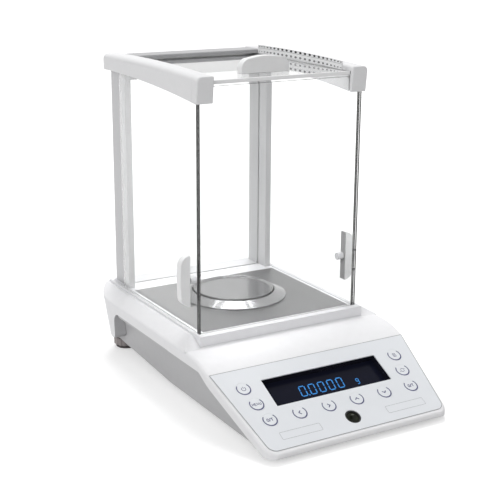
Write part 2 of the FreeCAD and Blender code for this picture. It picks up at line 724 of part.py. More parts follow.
def floor_under(place):
    """Level of the tub's underside at a place, flat at the front and rising to the rear."""
    flat_end = front + s.tub_flat
    run = measure(place[1]) - flat_end
    return s.tub_level + (run * s.tub_rise / (tub_rear - flat_end) if run.value > 0 else 0)


def head_top_at(place):
    """Level of the top of a case screw's head, set a little into the tub's floor."""
    return floor_under(place) + s.case_head_height - s.case_head_set


def rear_feet():
    return [(sign * (half_base - s.rear_foot_side), rear - s.rear_foot_inset) for sign in (-1, 1)]


tub_rear = rear - s.rear_draft - s.shell_wall - s.fit_gap
cell_base_low = s.tub_level + s.tub_wall + s.standoff_height


def cell_base_corners():
    half = s.cell_base_width / 2 - s.standoff_inset
    low = pan_y - s.base_lead
    rows = (low + s.standoff_inset, low + s.cell_base_length - s.standoff_inset)
    return [(sign * half, y) for y in rows for sign in (-1, 1)]


def board_corners():
    half = s.main_board_width / 2 - s.board_edge
    back = pan_y - s.board_gap
    rows = (back - s.board_edge, back - s.main_board_length + s.board_edge)
    return [(sign * half, y) for y in rows for sign in (-1, 1)]


def rear_holes():
    level = s.connector_level
    x = half_base - s.connector_side
    gap = s.port_hole_gap
    begin = tub_rear - s.tub_wall
    return [
        rod("Y", s.inlet_width / 2 + gap, begin, rear + 1 - begin, (-x, level)),
        block((x - s.port_width / 2 - gap, x + s.port_width / 2 + gap), (begin, rear + 1),
              (level - s.port_height / 2 - gap, level + s.port_height / 2 + gap)),
    ]


def make_connectors():
    """Barrel inlet and data port, each held by a collar or flange behind the rear wall."""
    level = s.connector_level
    x = half_base - s.connector_side
    face = rear_at(level) - s.connector_recess
    place = (-x, level)
    inlet = rod("Y", s.inlet_width / 2, face - s.inlet_length, s.inlet_length, place)
    collar_width = s.inlet_width / 2 + s.collar_margin
    collar = rod("Y", collar_width, face - s.inlet_length, s.inlet_length - s.collar_setback, place)
    socket = rod("Y", s.barrel_width / 2, face - s.barrel_depth, s.barrel_depth + 1, place)
    pin = rod("Y", s.barrel_pin / 2, face - s.barrel_depth - s.overlap, s.barrel_depth - 1, place)
    node("dc_inlet", fused(cut(fused(inlet, collar), socket), pin))
    half_w, half_h = s.port_width / 2, s.port_height / 2
    port = block((x - half_w, x + half_w), (face - s.port_depth, face), (level - half_h, level + half_h))
    flange_w, flange_h = half_w + s.port_lap, half_h + s.port_lip
    flange = block((x - flange_w, x + flange_w), (face - s.port_depth, face - s.collar_setback),
                   (level - flange_h, level + flange_h))
    mouth_w, mouth_h = half_w - s.mouth_rim, s.mouth_height / 2
    mouth = block((x - mouth_w, x + mouth_w), (face - s.mouth_depth, face + 1),
                  (level - mouth_h, level + mouth_h))
    node("serial_port", cut(fused(port, flange), mouth))


# ---- weighing chamber ----

glass_rear = glass_front + s.glass_thickness
plate_front = glass_rear + s.front_rim
plate_rear = plinth_rear - s.plate_rear_margin
half_plate = half_plinth - s.plate_margin
pan_y = plate_front + s.ring_width / 2 + (plate_rear - plate_front - s.ring_width) * s.ring_front_share
door_outer = door_plane + s.door_thickness
post_outer = half_plinth - s.post_inset
post_inner = post_outer - s.post_thickness
post_rear = plinth_rear - s.rear_gap
post_front = post_rear - s.post_depth
rear_glass_front = post_front + s.rear_glass_inset
rear_glass_rear = rear_glass_front + s.glass_thickness
half_glass = half_plinth - s.glass_margin
glass_top = top + s.door_height + s.front_glass_rise
door_top = top + s.door_height
door_low = top - s.door_groove + s.door_gap
arm_outer = half_plinth + s.arm_overhang
arm_inner = arm_outer - s.arm_width
arm_front_low = top + s.door_height - s.arm_front_drop
arm_rear_low = top + s.door_height - s.arm_rear_drop
arm_front_top = top + s.door_height + s.arm_front_rise
arm_rear_top = top + s.door_height + s.arm_rear_rise
roof_low = top + s.door_height + s.roof_rise
roof_top = roof_low + s.roof_glass
bar_low = roof_low - s.crossbar_gap - s.crossbar_height
bar_front = rear_glass_front - s.crossbar_lead


def make_plinth():
    slab = block((-half_plinth, half_plinth), (plinth_front, plinth_rear), (deck, top))
    web_top = top - s.plate_thickness - s.plate_bed
    pocket = block((-half_plate - s.plate_gap, half_plate + s.plate_gap),
                   (plate_front - s.plate_gap, plate_rear + s.plate_gap), (web_top, top + 1))
    half_hollow = half_plinth - s.plinth_wall
    hollow = block((-half_hollow, half_hollow), (plate_front + s.plinth_rim, plate_rear - s.plinth_rim),
                   (deck - 1, web_top - s.plinth_web))
    slot = block((-half_glass - s.slot_gap, half_glass + s.slot_gap),
                 (glass_front - s.slot_gap, glass_rear + s.slot_gap), (top - s.slot_depth, top + 1))
    grooves = [block(span(sign, door_plane - s.door_gap, door_outer + s.door_gap),
                     (glass_front, plinth_rear + 1), (top - s.door_groove, top + 1)) for sign in (-1, 1)]
    sockets = [block(span(sign, post_inner, post_outer), (post_front, post_rear),
                     (top - s.post_socket, top + 1)) for sign in (-1, 1)]
    rear_slot = block((-post_inner, post_inner), (rear_glass_front, rear_glass_rear),
                      (top - s.tongue_depth, top + 1))
    half_vent = s.vent_length / 2
    vent_rear = rear_glass_front - s.vent_setback
    vents = [block((x - half_vent, x + half_vent), (vent_rear - s.vent_width, vent_rear),
                   (top - s.vent_depth, top + 1))
             for x in (-s.vent_pitch, 0, s.vent_pitch)]
    hole = rod("Z", s.receptor_hole / 2, deck - 1, s.plinth_face + 2, (0, pan_y))
    node("chamber_plinth", cut(slab, pocket, hollow, slot, *grooves, *sockets, rear_slot, *vents, hole))
    plate = block((-half_plate, half_plate), (plate_front, plate_rear), (web_top + s.plate_bed, top))
    plate_hole = rod("Z", s.receptor_hole / 2 - s.plate_lap, web_top - 1, s.plate_thickness + 2, (0, pan_y))
    node("floor_plate", cut(plate, plate_hole))


def make_posts_and_panes():
    post_top = arm_rear_low + s.post_bite
    groove = block((-post_inner - s.rear_glass_bite, post_inner + s.rear_glass_bite),
                   (rear_glass_front - s.slot_gap, rear_glass_rear + s.slot_gap), (0, post_top + 1))
    for side, sign in (("left", -1), ("right", 1)):
        body = block(span(sign, post_inner, post_outer), (post_front, post_rear),
                     (top - s.post_socket, post_top))
        rear_edges = [(sign * x, post_rear, post_top - s.post_bite) for x in (post_inner, post_outer)]
        body = rounded(body, rear_edges, s.post_round)
        node(f"{side}_post", cut(body, groove))
    bite = post_inner + s.rear_glass_bite - s.glass_gap
    half_tongue = post_inner - s.glass_gap * 2
    pane = block((-bite, bite), (rear_glass_front, rear_glass_rear), (top + s.glass_gap / 2, bar_low))
    tongue = block((-half_tongue, half_tongue), (rear_glass_front, rear_glass_rear),
                   (top - s.tongue_depth, top + 1))
    node("rear_glass", fused(pane, tongue))
    node("front_glass", block((-half_glass, half_glass), (glass_front, glass_rear),
                              (top - s.slot_depth, glass_top)))


def make_side_doors():
    door_front = glass_rear + s.door_gap
    handle_y = glass_front + s.handle_back
    middle_y = handle_y + s.handle_depth / 2
    middle_z = top + s.handle_level
    half = s.handle_height / 2
    waist = s.handle_waist / 2
    for side, sign in (("left", -1), ("right", 1)):
        pane = block(span(sign, door_plane, door_outer), (door_front, plinth_rear - s.door_rear_margin),
                     (door_low, door_top))
        hole = rod("X", s.stud_width / 2 + s.stud_gap, span(sign, door_plane, door_outer)[0] - 1,
                   s.door_thickness + 2, (middle_y, middle_z))
        node(f"{side}_door_glass", rounded(cut(pane, hole), [
            (sign * door_plane, door_front, middle_z), (sign * door_outer, door_front, middle_z)], 0.6))
        face = sign * door_outer
        crest = face + sign * s.handle_shoulder
        end_curve, face_curve = sign * s.handle_end_radius, sign * s.handle_face_radius
        fin = prism("XZ", [(face, middle_z - half, end_curve), (crest, middle_z - waist, face_curve),
                           (crest, middle_z + waist, end_curve), (face, middle_z + half)],
                    handle_y, handle_y + s.handle_depth)
        stud = rod("X", s.stud_width / 2, span(sign, door_plane - s.stud_bite, door_outer + s.stud_root)[0],
                   s.stud_bite + s.door_thickness + s.stud_root, (middle_y, middle_z))
        tip = (sign * (door_outer + s.handle_reach), handle_y, middle_z)
        tip_back = (sign * (door_outer + s.handle_reach), handle_y + s.handle_depth, middle_z)
        node(f"{side}_door_handle", fused(rounded(fin, [tip, tip_back], 0.8), stud))
        knob_span = span(sign, door_plane - s.knob_length, door_plane)
        knob = rod("X", s.knob_width / 2, knob_span[0], s.knob_length, (middle_y, middle_z))
        bore = rod("X", s.stud_width / 2, span(sign, door_plane - s.stud_bite, door_plane + 1)[0],
                   s.stud_bite + 1, (middle_y, middle_z))
        node(f"{side}_door_knob", cut(knob, bore))
        pads = [rod("Y", s.bumper_width / 2, glass_rear + 0.05, s.door_gap - 0.05,
                    (sign * (door_plane + s.door_thickness / 2), middle_z + up * s.bumper_spacing / 2))
                for up in (-1, 1)]
        node(f"{side}_door_bumpers", group(*pads))


# ---- roof ----

def arm_profile():
    cap_front = glass_front - s.cap_lead
    return [
        (cap_front + s.cap_undercut, arm_front_low, -s.arm_low_radius),
        (post_rear, arm_rear_low),
        (post_rear, arm_rear_top, s.arm_top_radius),
        (cap_front, arm_front_top),
    ]


def make_arms():
    cap_front = glass_front - s.cap_lead
    cap_rear = cap_front + s.cap_length
    mid_top = (arm_front_top + arm_rear_top) / 2 + 2
    for side, sign in (("left", -1), ("right", 1)):
        low, high = span(sign, arm_inner, arm_outer)
        whole = prism("YZ", arm_profile(), low, high)
        spots_y = (post_front + post_rear) / 2 - 60
        outer_edge = [(sign * arm_outer, spots_y, mid_top)]
        inner_edge = [(sign * arm_inner, spots_y, mid_top)]
        whole = rounded(rounded(whole, outer_edge, s.arm_outer_round), inner_edge, s.arm_inner_round)
        front_edges = [(sign * x, cap_front + s.cap_undercut / 2, arm_front_low + 12)
                       for x in (arm_inner, arm_outer)]
        whole = rounded(whole, front_edges, 1.5)
        door_slot = block(span(sign, door_plane - s.door_gap, door_outer + s.door_gap),
                          (glass_rear - 0.5, rear), (top, door_top + s.door_gap + 0.3))
        post_slot = block(span(sign, post_inner, post_outer), (post_front, post_rear + 1),
                          (top, arm_rear_low + s.post_bite))
        roof_slot = block(span(sign, arm_inner - 1, arm_inner + s.roof_groove),
                          (glass_front - 0.6, rear), (roof_low - s.roof_gap, roof_top + s.roof_gap))
        glass_slot = block(span(sign, 0, half_glass + s.slot_gap),
                           (glass_front - s.slot_gap, glass_rear + s.slot_gap), (top, glass_top + s.slot_gap))
        grooved = cut(whole, door_slot, post_slot, roof_slot, glass_slot)
        cap_box = block((low - 1, high + 1), (cap_front - 1, cap_rear), (top, mid_top * 2))
        arm_box = block((low - 1, high + 1), (cap_rear + s.seam, rear), (top, mid_top * 2))
        peg_place = (sign * (arm_outer - s.cap_peg_inset), roof_low + s.roof_glass / 2)
        peg = rod("Y", s.cap_peg / 2, cap_rear - s.overlap, s.cap_peg_length, peg_place)
        bore = rod("Y", s.cap_peg / 2 + s.seam / 2, cap_rear - s.overlap, s.cap_peg_length + s.seam, peg_place)
        node(f"{side}_arm_cap", fused(common(grooved, cap_box), peg))
        node(f"{side}_arm", cut(common(grooved, arm_box), bore))


def make_vent_strip():
    """Thin upright strip on the right arm's inner face, standing above it, with two rows of graded slots."""
    begin = glass_front + s.strip_start
    strip_length = bar_front - s.strip_rear_margin - begin
    low_x = arm_inner - s.strip_thickness
    sheet_body = cut(prism("YZ", shifted_arc(s.strip_rise), low_x, arm_inner),
                     prism("YZ", shifted_arc(-s.strip_drop), low_x - 1, arm_inner + 1))
    window = block((low_x - 1, arm_inner + 1), (begin, begin + strip_length), (top, arm_rear_top * 2))
    pockets = []
    for number in range(SLOT_COUNT):
        share = (number + 0.5) / SLOT_COUNT
        swell = 0.4 + 0.6 * math.sin(math.pi * share)
        place = 0.5 - 0.5 * math.cos(math.pi * share)
        y = begin + strip_length * (0.4 * place + 0.6 * share)
        half_length = s.strip_slot_length * swell / 2
        half_height = s.strip_slot_height * swell / 2
        end_radius = half_height * 1.05
        for row in (s.strip_upper_row, s.strip_lower_row):
            z = arm_top_at(y) + row
            pockets.append(prism("YZ", [
                (y - half_length, z - half_height), (y + half_length, z - half_height, end_radius),
                (y + half_length, z + half_height), (y - half_length, z + half_height, end_radius),
            ], low_x - 1, low_x + s.strip_slot_depth))
    return node("right_vent_strip", cut(common(sheet_body, window), *pockets))


def arm_top_at(y):
    """Level of the arm's arched top: its chord plus the arc's rise, by the product of the two runs."""
    start = glass_front - s.cap_lead
    run = y - start
    whole = post_rear - start
    return (arm_front_top + (arm_rear_top - arm_front_top) * run / whole
            + run * (whole - run) / (s.arm_top_radius * 2))


def shifted_arc(lift):
    """Arm profile with its top raised by a lift."""
    corners = arm_profile()
    return [corners[0], corners[1], (corners[2][0], corners[2][1] + lift, corners[2][2]),
            (corners[3][0], corners[3][1] + lift)]


def make_roof():
    inner = arm_inner + s.roof_groove - 0.5
    bar_rear = bar_front + s.crossbar_depth
    node("rear_crossbar", rounded(
        block((-arm_inner, arm_inner), (bar_front, bar_rear), (bar_low, roof_low - s.crossbar_gap)),
        [(0, bar_front, bar_low), (0, bar_rear, bar_low)], 1.5))
    cover_low = roof_top + 1
    node("rear_roof_cover", rounded(
        block((-arm_inner, arm_inner), (bar_front, bar_rear), (cover_low, cover_low + s.cover_thickness)),
        [(0, bar_front, cover_low + s.cover_thickness), (0, bar_rear, cover_low + s.cover_thickness)], 1.2))
    pane_front = glass_front + 0.2
    trim_depth = s.trim_depth
    node("top_door_glass", block((-inner, inner), (pane_front + trim_depth, bar_rear), (roof_low, roof_top)))
    half = arm_inner - 0.6
    node("top_door_trim", block((-half, half), (pane_front - 1, pane_front + trim_depth),
                                (roof_low - s.trim_lap, roof_top + s.trim_lap)))
    half_handle = s.roof_handle_width / 2
    rise = s.roof_handle_height
    shoulder_z = roof_top + s.roof_handle_shoulder
    waist = s.roof_handle_waist / 2
    handle_front = glass_front + s.roof_handle_back
    end_curve = s.roof_handle_end_radius
    side_z = roof_top + s.roof_handle_side
    fin = prism("XZ", [(half_handle, roof_top), (half_handle, side_z, end_curve),
                       (waist, shoulder_z, s.roof_handle_face_radius), (-waist, shoulder_z, end_curve),
                       (-half_handle, side_z), (-half_handle, roof_top)],
                handle_front, handle_front + s.handle_depth)
    node("top_door_handle", rounded(fin, [(0, handle_front, roof_top + rise),
                                          (0, handle_front + s.handle_depth, roof_top + rise)], 0.8))


# ---- pan, ring and load cell ----

def make_pan():
    radius = s.pan_width / 2
    rim_top = top + s.pan_level
    floor_low = rim_top - s.pan_rim
    floor_top = floor_low + s.pan_sheet
    pin = s.pin_width / 2
    boss = s.boss_width / 2
    boss_low = top + 1.2
    node("weighing_pan", turned([
        (0, floor_low), (pin + s.pin_gap, floor_low), (pin + s.pin_gap, boss_low), (boss, boss_low),
        (boss, floor_low), (radius, floor_low), (radius, rim_top), (radius - s.pan_sheet, rim_top),
        (radius - s.pan_sheet - 1.2, floor_top), (0, floor_top)], 0, pan_y))
    inner = radius + s.ring_gap
    outer = s.ring_width / 2
    low = top + s.ring_clear
    high = top + s.ring_level
    node("draft_ring", turned([
        (inner, high - s.ring_sheet), (outer - 3, low + s.ring_lip - 0.3), (outer - 3, low), (outer, low),
        (outer, low + s.ring_lip), (inner + s.ring_sheet, high), (inner, high)], 0, pan_y))
    flange_top = boss_low - 0.02
    receptor_low = s.cell_level + s.cell_height
    node("load_receptor", turned([
        (0, receptor_low), (9, receptor_low), (9, receptor_low + 4), (5, receptor_low + 6), (5, flange_top - 2),
        (boss, flange_top - 2), (boss, flange_top), (pin, flange_top), (pin, floor_low), (0, floor_low)],
        0, pan_y))


def make_load_cell():
    """Force cell on its base: a slit aluminium block, with the magnet pot and the coil's lever behind it."""
    half = s.cell_width / 2
    low = s.cell_level
    high = low + s.cell_height
    begin = pan_y - s.cell_lead
    finish = begin + s.cell_length
    foot = finish - s.cell_foot
    bolts = [(sign * s.bolt_spacing / 2, finish - s.cell_foot / 2) for sign in (-1, 1)]
    body = block((-half, half), (begin, finish), (low, high))
    slit_start = begin + s.cell_head
    slits = [block((-half - 1, half + 1), (slit_start, foot), (level, level + s.cell_slit))
             for level in (low + s.cell_skin, high - s.cell_skin - s.cell_slit)]
    window_low, window_high = low + s.cell_skin * 2, high - s.cell_skin * 2
    windows = [block((-half - 1, half + 1), (start, start + s.cell_window), (window_low, window_high))
               for start in (slit_start + s.window_inset, foot - s.window_inset - s.cell_window)]
    pedestal = block((-half, half), (foot, finish), (cell_base_low + s.cell_base_thickness, low))
    bored = [rod("Z", s.cell_screw / 2, cell_base_low, high + 1 - cell_base_low, place) for place in bolts]
    node("load_cell", cut(fused(body, pedestal), *slits, *windows, *bored))
    base_front = pan_y - s.base_lead
    base_top = cell_base_low + s.cell_base_thickness
    base = block((-s.cell_base_width / 2, s.cell_base_width / 2), (base_front, base_front + s.cell_base_length),
                 (cell_base_low, base_top))
    recess = block((-half - s.cell_clear, half + s.cell_clear), (begin - s.cell_clear, foot),
                   (cell_base_low + s.base_web, low))
    base_bores = [rod("Z", s.cell_screw / 2, cell_base_low - 1, s.cell_base_thickness + 2, place)
                  for place in bolts]
    node("cell_base", cut(base, recess, *base_bores))
    node("cell_screws", group(*[
        fused(rod("Z", s.cell_screw / 2, cell_base_low, high - cell_base_low, place),
              rod("Z", s.cell_screw / 2 + s.bolt_rim, high, s.bolt_head, place)) for place in bolts]))
    magnet_y = finish + s.magnet_width / 2 - s.magnet_bite
    pot_y = magnet_y + s.pot_offset
    pot = rod("Z", s.magnet_width / 2, base_top, s.magnet_height, (0, magnet_y))
    clear = block((-half - 1, half + 1), (begin, finish + s.overlap), (base_top - 1, high + 1))
    well = rod("Z", s.pot_well / 2, base_top + s.pot_floor, s.magnet_height, (0, pot_y))
    core_low = base_top + s.pot_floor / 2
    core_height = base_top + s.magnet_height - s.pot_core_drop - core_low
    core = rod("Z", s.pot_core / 2, core_low, core_height, (0, pot_y))
    node("magnet_pot", fused(cut(pot, clear, well), core))
    coil_low = base_top + s.coil_lift
    lever_low = high + s.lever_gap
    lever_high = lever_low + s.lever_thickness
    coil = cut(rod("Z", s.coil_outer / 2, coil_low, lever_high - coil_low, (0, pot_y)),
               rod("Z", s.coil_inner / 2, coil_low - 1, lever_low - coil_low, (0, pot_y)))
    half_lever = s.lever_width / 2
    lever_front = begin + s.cell_head + 1
    lever = block((-half_lever, half_lever), (lever_front, pot_y), (lever_low, lever_high))
    lever_foot = block((-half_lever, half_lever), (lever_front, lever_front + s.lever_foot),
                       (high, lever_low + 1))
    node("coil_lever", fused(coil, lever, lever_foot))


def make_boards():
    back = pan_y - s.board_gap
    half = s.main_board_width / 2
    low = s.main_board_level
    up = low + s.board_thickness
    plate = block((-half, half), (back - s.main_board_length, back), (low, up))
    chip_back = back - s.chip_inset
    chip = block((-s.chip_width / 2, s.chip_width / 2), (chip_back - s.chip_width, chip_back),
                 (up, up + s.chip_height))
    can = rod("Z", s.can_width / 2, up, s.can_height, (half - s.can_side, back - s.chip_inset))
    plug_x, plug_y = s.plug_side - half, back - s.plug_inset
    plug = block((plug_x, plug_x + s.plug_width), (plug_y - s.plug_depth, plug_y), (up, up + s.plug_depth))
    node("main_board", fused(plate, chip, can, plug))


# ---- feet and fasteners ----

def make_feet():
    y = front + s.front_foot_back
    x = s.front_foot_spacing / 2
    feet = []
    for sign in (-1, 1):
        body = rod("Z", s.front_foot_width / 2, 0, s.tub_level, (sign * x, y))
        feet.append(rounded(body, [(sign * x, y + s.front_foot_width / 2, 0)], 1))
    node("front_feet", group(*feet))
    for side, (x, y) in zip(("left", "right"), rear_feet()):
        pad = rod("Z", s.pad_width / 2, 0, s.pad_height, (x, y))
        node(f"{side}_foot_pad", rounded(pad, [(x, y + s.pad_width / 2, 0)], 1))
        wheel_low = s.pad_height + 0.1
        wheel = rod("Z", s.wheel_width / 2, wheel_low, s.wheel_height, (x, y))
        notches = []
        for number in range(16):
            angle = 2 * math.pi * number / 16
            reach = s.wheel_width / 2 + 0.6
            notches.append(rod("Z", 1.5, wheel_low - 1, s.wheel_height + 2,
                               (x + math.cos(angle) * reach, y + math.sin(angle) * reach)))
        stud = rod("Z", s.screw_width / 2, wheel_low, s.wheel_height + s.screw_length, (x, y))
        node(f"{side}_foot_screw", fused(cut(wheel, *notches), stud))


def make_case_screws():
    screws = []
    for place in screw_places():
        low = head_top_at(place)
        head = rod("Z", s.case_head / 2, low - s.case_head_height, s.case_head_height, place)
        shank = rod("Z", s.case_screw / 2 - s.thread_gap, low - s.overlap, s.case_shank, place)
        screws.append(fused(head, shank))
    node("housing_screws", group(*screws))


make_upper_housing()
make_lower_housing()
make_overlay()
make_keys()
make_display()
make_keypad_board()
make_level()
make_connectors()
make_plinth()
make_posts_and_panes()
make_side_doors()
make_arms()
make_vent_strip()
make_roof()
make_pan()
make_load_cell()
make_boards()
make_feet()
make_case_screws()
doc.recompute()

for item in doc.Objects:
    if "Invalid" in item.State or "Error" in item.State:
        raise RuntimeError(f"{item.Label} is {item.State}")
os.makedirs("parts", exist_ok=True)
for label, item in nodes.items():
    if item.Shape.isNull() or not item.Shape.isValid():
        raise RuntimeError(f"{label} has no valid shape")
    item.Shape.exportStep(f"parts/{label}.step")
    print(label, len(item.Shape.Solids), round(item.Shape.Volume, 1))
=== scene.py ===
# %% [markdown]
# An analytical balance weighs to a tenth of a milligram, so its pan sits in a glass draught shield with
# sliding doors.

# %% Load the frame
import json
import math

import bmesh
import bpy
import numpy as np
from mathutils import Matrix, Vector
from mathutils.geometry import convex_hull_2d


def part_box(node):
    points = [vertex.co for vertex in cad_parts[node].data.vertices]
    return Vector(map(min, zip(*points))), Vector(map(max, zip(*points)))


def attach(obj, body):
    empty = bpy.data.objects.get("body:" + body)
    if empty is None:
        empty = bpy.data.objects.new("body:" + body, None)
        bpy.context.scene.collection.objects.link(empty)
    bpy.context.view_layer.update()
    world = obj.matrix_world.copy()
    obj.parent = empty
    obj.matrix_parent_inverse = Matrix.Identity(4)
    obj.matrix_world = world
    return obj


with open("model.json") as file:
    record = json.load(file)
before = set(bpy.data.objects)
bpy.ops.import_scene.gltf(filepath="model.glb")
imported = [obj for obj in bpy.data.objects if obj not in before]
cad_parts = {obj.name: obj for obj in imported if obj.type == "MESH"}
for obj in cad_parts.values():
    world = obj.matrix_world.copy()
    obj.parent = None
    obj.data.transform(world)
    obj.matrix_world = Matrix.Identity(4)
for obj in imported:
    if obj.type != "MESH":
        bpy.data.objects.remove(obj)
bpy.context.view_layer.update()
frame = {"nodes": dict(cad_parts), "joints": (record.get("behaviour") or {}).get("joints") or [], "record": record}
nodes = frame["nodes"]
MM = 0.001


def places_of(node):
    """The places of a node's points, one row of x, y and z for each."""
    points = nodes[node].data.vertices
    places = np.empty(len(points) * 3)
    points.foreach_get("co", places)
    return places.reshape(-1, 3)


print("pieces in the frame:", len(nodes))

# %% [markdown]
# Every material here is a small node tree round one Principled shader. Two helpers keep that short: one
# adds a node and fills its sockets, the other starts a material and hands back its shader.

# %% Node helpers
def add(tree, kind, properties=None, **sockets):
    """Add a node, set its properties, and set or link its sockets by name (spaces as underscores)."""
    made = tree.nodes.new(kind)
    for name, value in (properties or {}).items():
        setattr(made, name, value)
    for name, value in sockets.items():
        plug(tree, made.inputs[name.replace("_", " ")], value)
    return made


def plug(tree, socket, value):
    """Link a socket to another node's output, or set its plain value."""
    if isinstance(value, bpy.types.NodeSocket):
        tree.links.new(value, socket)
    elif value is not None:
        socket.default_value = value


def maths(tree, operation, first, second=0.5, clamp=False):
    """One sum on two numbers."""
    made = tree.nodes.new("ShaderNodeMath")
    made.operation = operation
    made.use_clamp = clamp
    plug(tree, made.inputs[0], first)
    plug(tree, made.inputs[1], second)
    return made.outputs[0]


def ramp(tree, value, low, high, start=0.0, end=1.0):
    """Stretch a value from the range low to high onto start to end, and hold it there."""
    made = add(tree, "ShaderNodeMapRange", {"clamp": True}, Value=value, From_Min=low, From_Max=high,
               To_Min=start, To_Max=end)
    return made.outputs["Result"]


def blend_colours(tree, share, first, second):
    """Mix two colours by a share from 0 to 1."""
    made = tree.nodes.new("ShaderNodeMix")
    made.data_type = "RGBA"
    plug(tree, made.inputs[0], share)
    plug(tree, made.inputs[6], first if isinstance(first, bpy.types.NodeSocket) else (*first, 1))
    plug(tree, made.inputs[7], second if isinstance(second, bpy.types.NodeSocket) else (*second, 1))
    return made.outputs[2]


def start_material(name, **sockets):
    """A new material with one Principled shader; constant sockets are set on the shader itself."""
    made = bpy.data.materials.new(name)
    made.use_nodes = True
    shader = made.node_tree.nodes["Principled BSDF"]
    for socket, value in sockets.items():
        shader.inputs[socket.replace("_", " ")].default_value = value
    return made, made.node_tree, shader


# %% [markdown]
# Some effects turn up in many finishes: the fine pits of a textured mould, the faint clouding that
# hands and dust leave, the streaks of brushed steel, and the light line where an edge is rubbed. Each is
# a node group, built once, with inputs that every material sets for itself.

# %% Start an effect group
def start_group(name, inputs, outputs):
    """An empty shader group with named number inputs (with their usual values) and outputs."""
    group = bpy.data.node_groups.new(name, "ShaderNodeTree")
    for label, value in inputs.items():
        socket = group.interface.new_socket(label, in_out="INPUT", socket_type="NodeSocketFloat")
        socket.default_value = value
    for label in outputs:
        kind = "NodeSocketVector" if label == "Normal" else "NodeSocketFloat"
        group.interface.new_socket(label, in_out="OUTPUT", socket_type=kind)
    return group, group.nodes.new("NodeGroupInput").outputs, group.nodes.new("NodeGroupOutput").inputs


def use_group(tree, group, **values):
    """Place an effect group in a material with its own values."""
    made = tree.nodes.new("ShaderNodeGroup")
    made.node_tree = group
    for label, value in values.items():
        plug(tree, made.inputs[label.replace("_", " ")], value)
    return made.outputs


# %% Mould grain: two sizes of noise added, as etched pits over slower waves
mould_grain, given, gives = start_group(
    "mould grain", {"Pits per metre": 1800.0, "Depth": 0.5}, ["Height", "Tone"])
spot = add(mould_grain, "ShaderNodeTexCoord").outputs["Object"]
pits = add(mould_grain, "ShaderNodeTexNoise", Vector=spot, Scale=given["Pits per metre"], Detail=3.0,
           Roughness=0.6).outputs["Fac"]
slow_scale = maths(mould_grain, "MULTIPLY", given["Pits per metre"], 0.08)
waves = add(mould_grain, "ShaderNodeTexNoise", Vector=spot, Scale=slow_scale, Detail=2.0).outputs["Fac"]
both = maths(mould_grain, "ADD", maths(mould_grain, "MULTIPLY", pits, given["Depth"]),
             maths(mould_grain, "MULTIPLY", waves, 0.15))
mould_grain.links.new(both, gives["Height"])
mould_grain.links.new(ramp(mould_grain, waves, 0.3, 0.7), gives["Tone"])
print("group:", mould_grain.name)

# %% Handling: broad clouds broken by finer ones, as hands and dust leave them
handling, given, gives = start_group("handling", {"Clouds per metre": 14.0}, ["Mask"])
spot = add(handling, "ShaderNodeTexCoord").outputs["Object"]
broad = add(handling, "ShaderNodeTexNoise", Vector=spot, Scale=given["Clouds per metre"], Detail=4.0,
            Roughness=0.55).outputs["Fac"]
fine = add(handling, "ShaderNodeTexNoise", Vector=spot, Detail=3.0,
           Scale=maths(handling, "MULTIPLY", given["Clouds per metre"], 9.0)).outputs["Fac"]
cloud = maths(handling, "MULTIPLY", ramp(handling, broad, 0.35, 0.75),
              ramp(handling, fine, 0.3, 0.8, 0.5, 1.0))
handling.links.new(cloud, gives["Mask"])
print("group:", handling.name)

# %% Streaks: noise squeezed along one way, so that each grain becomes a long fine scratch
streaks, given, gives = start_group(
    "streaks", {"Along X": 40.0, "Along Y": 3000.0, "Along Z": 3000.0}, ["Height", "Tone"])
spot = add(streaks, "ShaderNodeTexCoord").outputs["Object"]
scales = add(streaks, "ShaderNodeCombineXYZ", X=given["Along X"], Y=given["Along Y"],
             Z=given["Along Z"]).outputs[0]
stretched = add(streaks, "ShaderNodeVectorMath", {"operation": "MULTIPLY"}).inputs
plug(streaks, stretched[0], spot)
plug(streaks, stretched[1], scales)
scratch = add(streaks, "ShaderNodeTexNoise", Vector=stretched[0].node.outputs[0], Scale=1.0, Detail=4.0,
              Roughness=0.7).outputs["Fac"]
streaks.links.new(scratch, gives["Height"])
streaks.links.new(ramp(streaks, scratch, 0.3, 0.7), gives["Tone"])
print("group:", streaks.name)

# %% Spun rings: noise read only from the distance to an upright axis, as a lathe tool leaves it
spun, given, gives = start_group("spun rings", {"Axis Y": 0.0, "Rings per metre": 2500.0}, ["Height", "Tone"])
split = add(spun, "ShaderNodeSeparateXYZ")
plug(spun, split.inputs[0], add(spun, "ShaderNodeTexCoord").outputs["Object"])
back = maths(spun, "SUBTRACT", split.outputs["Y"], given["Axis Y"])
side_squared = maths(spun, "MULTIPLY", split.outputs["X"], split.outputs["X"])
back_squared = maths(spun, "MULTIPLY", back, back)
reach = maths(spun, "SQRT", maths(spun, "ADD", side_squared, back_squared), 0.0)
ring_place = add(spun, "ShaderNodeCombineXYZ", X=maths(spun, "MULTIPLY", reach, given["Rings per metre"]),
                 Y=maths(spun, "MULTIPLY", split.outputs["Z"], 300.0)).outputs[0]
rings = add(spun, "ShaderNodeTexNoise", Vector=ring_place, Scale=1.0, Detail=2.0).outputs["Fac"]
spun.links.new(rings, gives["Height"])
spun.links.new(ramp(spun, rings, 0.35, 0.65), gives["Tone"])
print("group:", spun.name)

# %% Rubbed edge: the normal smoothed over a small radius, and a mask where it leaves the true one
rubbed, given, gives = start_group("rubbed edge", {"Radius": 0.0006}, ["Mask", "Normal"])
soft = add(rubbed, "ShaderNodeBevel", {"samples": 4}, Radius=given["Radius"]).outputs["Normal"]
true = add(rubbed, "ShaderNodeNewGeometry").outputs["Normal"]
match = add(rubbed, "ShaderNodeVectorMath", {"operation": "DOT_PRODUCT"})
plug(rubbed, match.inputs[0], soft)
plug(rubbed, match.inputs[1], true)
rubbed.links.new(ramp(rubbed, match.outputs["Value"], 0.98, 0.8), gives["Mask"])
rubbed.links.new(soft, gives["Normal"])
print("group:", rubbed.name)
